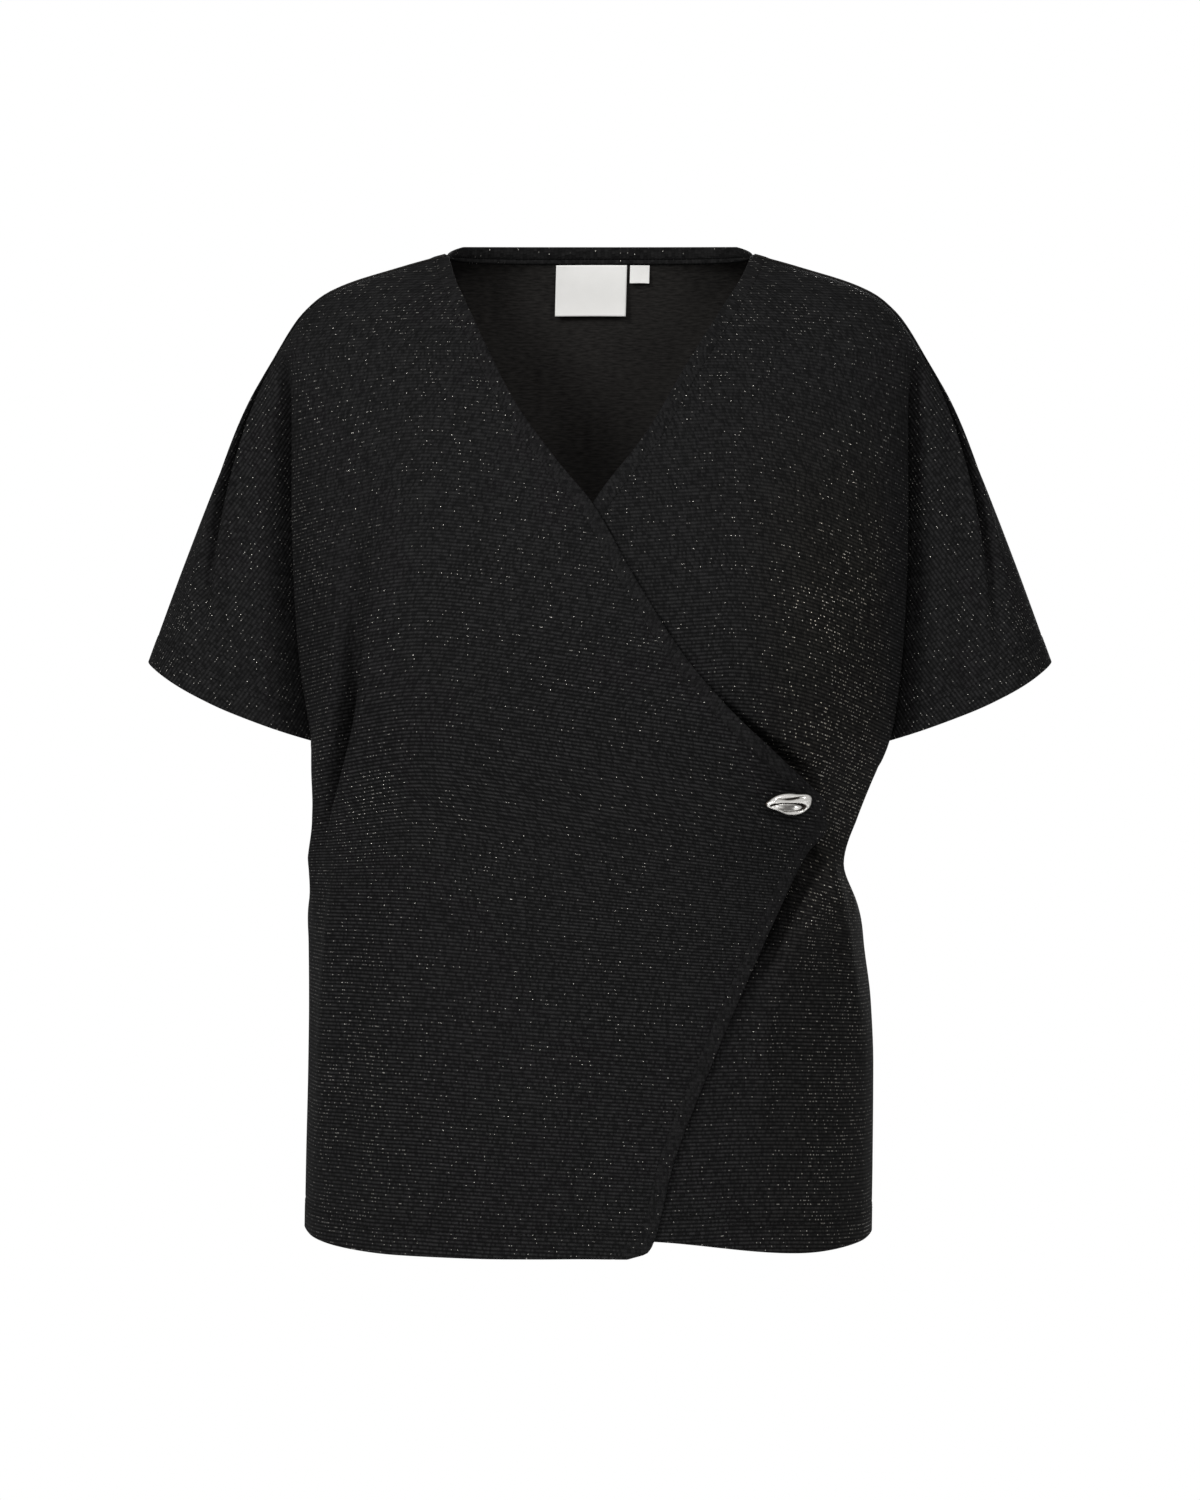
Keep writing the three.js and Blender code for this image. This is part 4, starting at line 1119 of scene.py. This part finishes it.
def button_mesh():
    """A cast metal button: a ball flattened to the button's sizes and drawn out to its outline, with
    a worn relief on its face. Its attribute is 1 in the hollows, at the edge, where it paints the
    reflection of the black cloth, and behind, and 0 on the crests."""
    wide, high = 180, 90
    lon = np.linspace(0, 2 * math.pi, wide, endpoint=False)[None]
    lat = np.linspace(0, math.pi, high + 1)[1:-1, None]
    radius, pz = np.sin(lat) + 0 * lon, np.cos(lat) + 0 * lon
    turn = np.degrees((lon + math.pi) % (2 * math.pi) - math.pi)
    angles = np.concatenate([BUTTON_OUTLINE["turn"] + shift for shift in (-360, 0, 360)])
    reaches = np.tile(BUTTON_OUTLINE["reach"], 3)
    near = [np.interp(turn + shift, angles, reaches) for shift in (-7, -3.5, 0, 3.5, 7)]
    reach = sum(near) / len(near)
    px, py = radius * np.cos(lon) * reach, radius * np.sin(lon) * reach
    relief, dark = button_relief(px, py, radius)
    front = pz > 0
    x, y = BUTTON["length"] / 2 * px, BUTTON["height"] / 2 * py
    flat = np.where(front, 0.8, 2 * BUTTON_BACK)
    z = BUTTON["thick"] / 2 * pz * flat + np.where(front, relief, 0)
    # The dark ring at the edge is a painted reflection of the black cloth; the back is dark too
    dark = np.where(front, np.maximum(dark, 0.95 * ease(0.91, 0.985, radius)), 1)
    body = np.stack([x, y, z], -1).reshape(-1, 3)
    poles = np.array([[0, 0, z[0].mean()], [0, 0, z[-1].mean()]])
    local = np.concatenate([body, poles])
    shade = np.concatenate([dark.reshape(-1), [dark[0].mean(), 1]])
    point, along, up, normal = button_place()
    off = SEAM_GAP + SHANK_LENGTH + SEAM_GAP + BUTTON["thick"] * BUTTON_BACK
    points = point + local[:, :1] * along + local[:, 1:2] * up + (local[:, 2:] + off) * normal
    rows = high - 1
    faces = ring_faces(rows, wide)
    ring = np.arange(wide)
    ahead = np.roll(ring, -1)
    far = (rows - 1) * wide
    first = np.stack([np.full(wide, rows * wide), ring, ahead], 1)
    last = np.stack([np.full(wide, rows * wide + 1), far + ahead, far + ring], 1)
    triangles = np.concatenate([faces[:, [0, 1, 2]], faces[:, [0, 2, 3]], first, last])
    return mesh_object("button_metal", points, triangles, attributes={"dark": shade})


# Materials

# Colours of the knit's golden side: between the ribs, darker than elsewhere as painted shade, on them,
# and its glints
WARM_SHADED_BASE, WARM_CREST = (0.0008, 0.0008, 0.0006), (0.031, 0.0265, 0.0175)
GOLD = (0.85, 0.68, 0.42)


class Node:
    """One socket of a material's node tree. Python's own signs add Math nodes; other nodes are made by
    make, with the node's type, its settings, and its inputs by name or number."""

    def __init__(self, tree, socket=None):
        self.tree, self.socket = tree, socket

    def make(self, kind, settings=None, output=0, **inputs):
        node = self.tree.nodes.new(kind)
        for key, value in (settings or {}).items():
            setattr(node, key, value)
        for key, value in inputs.items():
            target = node.inputs[int(key[1:])] if key[0] == "_" else node.inputs[key.replace("_", " ")]
            if isinstance(value, Node):
                self.tree.links.new(value.socket, target)
            else:
                target.default_value = value
        return Node(self.tree, node.outputs[output])

    def math(self, operation, *others):
        inputs = {"_0": self, **{f"_{i + 1}": other for i, other in enumerate(others)}}
        return self.make("ShaderNodeMath", {"operation": operation}, **inputs)

    def turned(self, operation, first):
        return self.make("ShaderNodeMath", {"operation": operation}, _0=first, _1=self)

    def __add__(self, other):
        return self.math("ADD", other)

    def __radd__(self, other):
        return self.turned("ADD", other)

    def __sub__(self, other):
        return self.math("SUBTRACT", other)

    def __rsub__(self, other):
        return self.turned("SUBTRACT", other)

    def __mul__(self, other):
        return self.math("MULTIPLY", other)

    def __rmul__(self, other):
        return self.turned("MULTIPLY", other)

    def __truediv__(self, other):
        return self.math("DIVIDE", other)

    def __rtruediv__(self, other):
        return self.turned("DIVIDE", other)

    def __lt__(self, other):
        return self.math("LESS_THAN", other)

    def clamp(self):
        return self.math("MAXIMUM", 0.0).math("MINIMUM", 1.0)

    def wave(self):
        """0 at whole numbers and 1 halfway between them, by a cosine."""
        return 0.5 - 0.5 * (self * (2 * math.pi)).math("COSINE")

    def parts(self, count):
        """The first parts of a vector or a colour."""
        return [self.make("ShaderNodeSeparateXYZ", None, i, _0=self) for i in range(count)]

    def shade(self, low, high):
        """A colour between two, by this value."""
        settings = {"data_type": "RGBA", "clamp_factor": True}
        low = low if isinstance(low, Node) else (*low, 1)
        high = high if isinstance(high, Node) else (*high, 1)
        return self.make("ShaderNodeMix", settings, output=2, _0=self, _6=low, _7=high)


def new_material(name, **constants):
    """A material with its Principled shader's constants, and the start of its node tree."""
    material = bpy.data.materials.new(name)
    material.use_nodes = True
    shader = material.node_tree.nodes["Principled BSDF"]
    for key, value in constants.items():
        shader.inputs[key.replace("_", " ")].default_value = value
    return material, Node(material.node_tree)


def paint(start, **inputs):
    """Joins sockets to the inputs of the material's Principled shader."""
    shader = start.tree.nodes["Principled BSDF"]
    for key, node in inputs.items():
        start.tree.links.new(node.socket, shader.inputs[key.replace("_", " ")])


def cloth_place(start):
    """The two coordinates of the cloth's own place, in millimetres."""
    return start.make("ShaderNodeUVMap", {"uv_map": "cloth"}).parts(2)


def attribute(start, name):
    return start.make("ShaderNodeAttribute", {"attribute_name": name}, 2)


def noise(start, scale, detail=2.0, where=None):
    """Smooth noise over the object's own coordinates, or over a place that is handed in."""
    if where is None:
        where = start.make("ShaderNodeTexCoord", None, "Object")
    return start.make("ShaderNodeTexNoise", Vector=where, Scale=scale, Detail=detail)


def by_chance(start, dimensions, output=0, **place):
    """A random value for each place, or with output 1 a random colour."""
    settings = {"noise_dimensions": dimensions}
    return start.make("ShaderNodeTexWhiteNoise", settings, output, **place)


def bump(height, strength, distance):
    return height.make("ShaderNodeBump", Strength=strength, Distance=distance, Height=height)


def knit_material(name, base, crest, glint):
    """Fine knitted ribs with loose dashes along them. A glint sits in some of the knit's cells, by a
    random value for each cell against the cloth's own share of glints, and is tilted at random."""
    material, start = new_material(name, Specular_IOR_Level=0.08)
    u, v = cloth_place(start)
    # Cells: ribs that drift a little, and stitches that start at random in each rib
    row = v / RIB + 0.22 * (noise(start, 55.0) - 0.5)
    number = row.math("FLOOR")
    across = row - number
    wale = u / WALE + by_chance(start, "1D", W=number)
    cell = wale.math("FLOOR")
    within = wale - cell
    where = start.make("ShaderNodeCombineXYZ", X=cell, Y=number)
    bright, shift, grain = by_chance(start, "2D", 1, Vector=where).parts(3)
    # Tone of the yarn: painted shade between the ribs and painted highlight on their crests, with
    # random grain, softer where the ribs are less clear
    clear = attribute(start, "ribs") * (0.55 + 0.7 * noise(start, 9.0, 1.0))
    soft = 0.5 + clear * (across.wave() - 0.5)
    fibres = noise(start, 1300.0, 1.0)
    tone = soft.math("POWER", 1.3) * (0.25 + 0.75 * grain) * (2.3 * fibres - 0.15).clamp()
    # Glints: round dots of their own size, place and tilt
    warm_tint_and_painted_light = attribute(start, "warm_tint_and_painted_light")
    cloudy = noise(start, 16.0, 3.0)
    share = attribute(start, "glint") * (0.1 + 3.6 * cloudy * cloudy)
    dot_u = (within - 0.3 - 0.4 * shift) * WALE
    dot_v = (across - 0.5) * RIB
    reach = (dot_u * dot_u + dot_v * dot_v).math("SQRT")
    # Larger glints on the golden side are painted highlight
    size = 0.34 + 0.38 * bright + 0.1 * warm_tint_and_painted_light
    dot = ((size - reach) * 6.0).clamp() * (by_chance(start, "2D", Vector=where) < share)
    tilt_u, tilt_v = by_chance(start, "3D", 1, Vector=where).parts(2)
    tilt = (tilt_u - 0.5) * dot_u + (tilt_v - 0.5) * dot_v
    # The golden side has warmer crests and warmer glints, and a darker base between its ribs that is
    # painted shade
    warm_shaded_tone = tone.shade(WARM_SHADED_BASE, WARM_CREST)
    knit = (0.38 * warm_tint_and_painted_light).shade(tone.shade(base, crest), warm_shaded_tone)
    metal = (0.34 * warm_tint_and_painted_light * grain).shade(glint, GOLD)
    height = soft * (0.6 + 0.4 * within.wave()) + dot * (0.25 + 1.6 * tilt)
    paint(
        start,
        Base_Color=(dot * (0.5 + 0.5 * bright)).shade(knit, metal),
        Metallic=dot * 0.85,
        Roughness=0.82 - 0.52 * dot,
        Normal=bump(height, 0.55, 0.0008),
    )
    return material


def wrong_side_material(name, base, crest):
    """The knit's smooth wrong side: short loose dashes along the rows, and no glints."""
    material, start = new_material(name, Specular_IOR_Level=0.08)
    u, v = cloth_place(start)
    where = start.make("ShaderNodeCombineXYZ", X=u / 6.0, Y=v / 1.3)
    dashes = (0.5 + 1.9 * (noise(start, 1.0, 2.0, where) - 0.5)).clamp()
    tone = 0.75 * dashes + 0.25 * noise(start, 24.0)
    paint(
        start,
        Base_Color=tone.shade(base, crest),
        Roughness=0.8 + 0.1 * tone,
        Normal=bump(dashes, 0.4, 0.0005),
    )
    return material


def thread_material():
    """Matt black thread with a fine twist."""
    material, start = new_material("black_thread", Specular_IOR_Level=0.05)
    twist = noise(start, 900.0, 1.0)
    colour = twist.shade((0.001, 0.001, 0.001), (0.006, 0.006, 0.006))
    paint(start, Base_Color=colour, Roughness=0.6 + 0.2 * twist)
    return material


def label_material():
    """Plain white tape: fine warp and weft by two sine waves."""
    material, start = new_material("white_tape", Specular_IOR_Level=0.35, Sheen_Weight=0.1)
    u, v = cloth_place(start)
    warp = 0.5 + 0.5 * (u * (2 * math.pi / 0.4)).math("SINE")
    weft = 0.5 + 0.5 * (v * (2 * math.pi / 0.45)).math("SINE")
    weave = warp * weft
    cloudy = noise(start, 120.0, 3.0)
    tone = 0.6 * weave + 0.4 * cloudy
    paint(
        start,
        Base_Color=tone.shade((0.9, 0.89, 0.86), (1.0, 0.99, 0.97)),
        Roughness=0.62 + 0.15 * cloudy,
        Normal=bump(weave, 0.3, 0.0002),
    )
    return material


def metal_material():
    """Worn cast metal: bright crests, brown-black hollows, and a brown-black edge that paints the
    reflection of the black cloth, by the mesh's own attribute.
    """
    material, start = new_material("worn_silver", Specular_IOR_Level=0.5)
    cloudy = noise(start, 420.0, 3.0)
    patina_and_edge_reflection = (attribute(start, "dark") * 1.15 + 0.3 * (cloudy - 0.5)).clamp()
    paint(
        start,
        Base_Color=patina_and_edge_reflection.shade((0.93, 0.91, 0.87), (0.03, 0.024, 0.02)),
        Roughness=0.16 + 0.2 * patina_and_edge_reflection,
        Metallic=0.55 + 0.4 * patina_and_edge_reflection,
        Normal=bump(cloudy, 0.2, 0.0003),
    )
    return material


def stage_material():
    """Pale floor paint that fades into the white surroundings towards the floor's round edge."""
    material, start = new_material("pale_floor", Specular_IOR_Level=0.1)
    x, y = start.make("ShaderNodeTexCoord", None, "Object").parts(2)
    inside = (FLOOR_REACH - (x * x + y * y).math("SQRT")) / FLOOR_REACH
    cloudy = noise(start, 2.0)
    paint(
        start,
        Alpha=(2.2 * inside).clamp(),
        Base_Color=cloudy.shade((0.83, 0.83, 0.83), (0.86, 0.86, 0.86)),
        Roughness=0.85 + 0.1 * cloudy,
    )
    return material


# Stage, in metres

CAMERA_BACK = 3.2
CAMERA_LEVEL = -0.35
VIEW_HEIGHT = 1.05  # what the frame shows, top to bottom, at the garment's middle
SENSOR = 36.0
FLOOR_LEVEL = -1.45
FLOOR_REACH = 2.8
FLOOR_CORNERS = 96


def area_light(name, place, target, size, watts):
    """A round light that faces a target."""
    light = bpy.data.lights.new(name, "AREA")
    light.shape, light.size, light.energy = "DISK", size, watts
    obj = bpy.data.objects.new(name, light)
    obj.location = place
    obj.rotation_euler = (Vector(target) - Vector(place)).to_track_quat("-Z", "Y").to_euler()
    bpy.context.scene.collection.objects.link(obj)


# What each operator makes


@functools.lru_cache(maxsize=None)
def shells(strength, step):
    """The three cloth pieces at one strength of creases and one row height in millimetres."""
    levels = row_levels(step, FINE_STEP)
    return {
        "back": back_shell(levels, strength),
        "front_outer": front_shell("outer", levels, strength),
        "front_inner": front_shell("inner", levels, strength),
    }


def scene_shells(sizes):
    return shells(round(sizes.creases, 3), round(sizes.row_step / MM, 3))


def cloth_materials(colours):
    """The knit's right side and its wrong side, made once."""
    right = bpy.data.materials.get("glitter_knit")
    if right is None:
        right = knit_material("glitter_knit", colours.knit, colours.crest, colours.glint)
    wrong = bpy.data.materials.get("knit_wrong_side")
    if wrong is None:
        wrong = wrong_side_material("knit_wrong_side", colours.wrong, colours.wrong_crest)
    return right, wrong


def make_cloth(context, name):
    """One cloth piece. The area that its surface has when flat is worked out, but not used."""
    shell = scene_shells(context.scene.top_sizes)[name]
    obj, area = shell_mesh(f"{name}_knit", shell)
    finish_piece(obj, name, "knit", *cloth_materials(context.scene.top_colours))


def make_band(context):
    knit = cloth_materials(context.scene.top_colours)[0]
    finish_piece(neck_band_mesh(), "neck_band", "knit", knit)


def make_labels(context):
    material = label_material()
    for name, size in (("neck_label", LABEL), ("size_tag", SIZE_TAG)):
        obj = finish_piece(label_mesh(f"{name}_tape", size), name, "label", material)


def make_sewing(context):
    sizes = context.scene.top_sizes
    angle = np.linspace(-BAND_REACH + 0.1, BAND_REACH - 0.1, 160)
    foot, normal, bottom, top = band_rows(angle)
    rows = []
    # The last of the band's rows is a dark line that paints the shadow under its foot
    for share, off, facing in BAND_ROWS_WITH_SHADOW:
        row = foot + normal * (off - BAND_LEAN * share * (top - bottom))[:, None]
        row[:, 2] = mix(bottom, top, share)
        rows.append((row, facing * normal, *BAND_STITCH))
    points, faces = seam_stitches(list(scene_shells(sizes).values()), rows)
    obj = mesh_object("stitching_and_band_shadow", points, faces)
    finish_piece(obj, None, "knit", thread_material())


def make_button(context):
    metal = metal_material()
    finish_piece(button_mesh(), "button", "metal", metal)
    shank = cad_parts["button_shank"]
    shank.data.materials.clear()
    shank.data.materials.append(metal)


def make_stage(context):
    """A pale round floor well below the garment, white surroundings, soft lights and the camera."""
    turn = np.linspace(0, 2 * math.pi, FLOOR_CORNERS, endpoint=False)
    x, y = FLOOR_REACH * np.cos(turn), FLOOR_REACH * np.sin(turn)
    rim = np.stack([x, y, np.full(FLOOR_CORNERS, FLOOR_LEVEL)], 1)
    floor = mesh_object("floor", rim / MM, np.arange(FLOOR_CORNERS)[None], smooth=False)
    floor.data.materials.append(stage_material())
    world = context.scene.world or bpy.data.worlds.new("white_room")
    context.scene.world = world
    world.use_nodes = True
    stage = context.scene.top_stage
    background = world.node_tree.nodes["Background"]
    background.inputs["Color"].default_value = (1, 1, 1, 1)
    seen = Node(world.node_tree).make("ShaderNodeLightPath", None, "Is Camera Ray")
    strength = seen + (1 - seen) * stage.world
    world.node_tree.links.new(strength.socket, background.inputs["Strength"])
    middle = (0, 0, CAMERA_LEVEL)
    area_light("front_light", (-0.15, -3.4, 0.75), middle, 1.2, stage.front)
    area_light("right_light", (-1.8, -2.2, 1.3), middle, 0.9, stage.right)
    area_light("left_light", (1.8, -2.2, 1.2), middle, 0.9, stage.left)
    area_light("back_light", (0.3, 3.2, 0.8), middle, 2.2, stage.back)
    camera_data = bpy.data.cameras.new("camera")
    camera_data.sensor_width = SENSOR
    camera_data.lens = SENSOR * CAMERA_BACK / VIEW_HEIGHT
    camera = bpy.data.objects.new("camera", camera_data)
    camera.location = (0, -CAMERA_BACK, CAMERA_LEVEL)
    camera.rotation_euler = (math.pi / 2, 0, 0)
    context.scene.collection.objects.link(camera)
    context.scene.camera = camera
    context.scene.view_settings.view_transform = "Standard"


def size(name, description, default):
    return bpy.props.FloatProperty(name=name, description=description, default=default, unit="LENGTH")


def power(name, description, default):
    return bpy.props.FloatProperty(name=name, description=description, default=default, unit="POWER")


def colour(name, description, default):
    return bpy.props.FloatVectorProperty(
        name=name, description=description, default=default, subtype="COLOR", min=0, max=1
    )


class TopSizes(bpy.types.PropertyGroup):
    """Sizes of the cloth's finer form."""

    creases: bpy.props.FloatProperty(
        name="Creases", description="Strength of the soft creases", default=1.0, subtype="FACTOR"
    )
    row_step: size("Row step", "Greatest distance between two rows of the cloth's grid", 0.004)


class TopColours(bpy.types.PropertyGroup):
    """Colours of the cloth."""

    # Between the ribs and on them: shaded and lit tones of one yarn, painted shade and painted
    # highlight
    knit: colour("Knit", "Between the ribs", (0.0012, 0.0012, 0.0013))
    crest: colour("Crest", "On the ribs", (0.031, 0.0305, 0.031))
    wrong: colour("Wrong side", "Darkest threads inside", (0.0036, 0.0033, 0.0031))
    wrong_crest: colour("Wrong side crest", "Palest threads inside", (0.031, 0.029, 0.0272))
    glint: colour("Glint", "The metallic yarn", (0.8, 0.77, 0.71))


class TopStage(bpy.types.PropertyGroup):
    """Light of the stage."""

    world: bpy.props.FloatProperty(
        name="World", description="Light from the white surroundings, which look white", default=0.26
    )
    front: power("Front light", "Power of the light above the camera", 26.0)
    right: power("Right light", "Power of the light on the right side", 60.0)
    left: power("Left light", "Power of the light on the left side", 27.0)
    back: power("Back light", "Power of the light behind the garment", 110.0)


class MakeBack(bpy.types.Operator):
    """Makes the back with both halves of its grown-on sleeves."""

    bl_idname = "wrap_top.back"
    bl_label = "Back"

    def execute(self, context):
        make_cloth(context, "back")
        return {"FINISHED"}


class MakeFronts(bpy.types.Operator):
    """Makes the inner front and the outer front that is wrapped over it."""

    bl_idname = "wrap_top.fronts"
    bl_label = "Fronts"

    def execute(self, context):
        make_cloth(context, "front_inner")
        make_cloth(context, "front_outer")
        return {"FINISHED"}


class MakeNeck(bpy.types.Operator):
    """Makes the neck band and the two blank labels inside the back."""

    bl_idname = "wrap_top.neck"
    bl_label = "Neck band and labels"

    def execute(self, context):
        make_band(context)
        make_labels(context)
        return {"FINISHED"}


class MakeSewing(bpy.types.Operator):
    """Makes every visible row of stitches, one of which, at the neck band's foot, paints the shadow
    under the band.
    """

    bl_idname = "wrap_top.sewing"
    bl_label = "Sewing"

    def execute(self, context):
        make_sewing(context)
        return {"FINISHED"}


class MakeButton(bpy.types.Operator):
    """Makes the hammered button and gives its shank the same metal."""

    bl_idname = "wrap_top.button"
    bl_label = "Button"

    def execute(self, context):
        make_button(context)
        return {"FINISHED"}


class MakeStage(bpy.types.Operator):
    """Makes the floor, the lights and the camera."""

    bl_idname = "wrap_top.stage"
    bl_label = "Stage"

    def execute(self, context):
        make_stage(context)
        return {"FINISHED"}


OPERATORS = (MakeBack, MakeFronts, MakeNeck, MakeSewing, MakeButton, MakeStage)
GROUPS = {"top_sizes": TopSizes, "top_colours": TopColours, "top_stage": TopStage}


class WrapTopPanel(bpy.types.Panel):
    """Lists the makers of the wrap top's pieces."""

    bl_idname = "VIEW3D_PT_wrap_top"
    bl_label = "Wrap top"
    bl_space_type = "VIEW_3D"
    bl_region_type = "UI"
    bl_category = "Wrap top"

    def draw(self, context):
        for group, kind in GROUPS.items():
            for name in kind.__annotations__:
                self.layout.prop(getattr(context.scene, group), name)
        for operator in OPERATORS:
            self.layout.operator(operator.bl_idname)


def register():
    for kind in (*GROUPS.values(), *OPERATORS, WrapTopPanel):
        bpy.utils.register_class(kind)
    for name, kind in GROUPS.items():
        setattr(bpy.types.Scene, name, bpy.props.PointerProperty(type=kind))


def unregister():
    for name in GROUPS:
        delattr(bpy.types.Scene, name)
    for kind in reversed((*GROUPS.values(), *OPERATORS, WrapTopPanel)):
        bpy.utils.unregister_class(kind)


def main():
    register()
    bpy.ops.wrap_top.back()
    bpy.ops.wrap_top.fronts()
    bpy.ops.wrap_top.neck()
    bpy.ops.wrap_top.sewing()
    bpy.ops.wrap_top.button()
    bpy.ops.wrap_top.stage()
    bpy.context.view_layer.update()


if __name__ == "__main__":
    main()
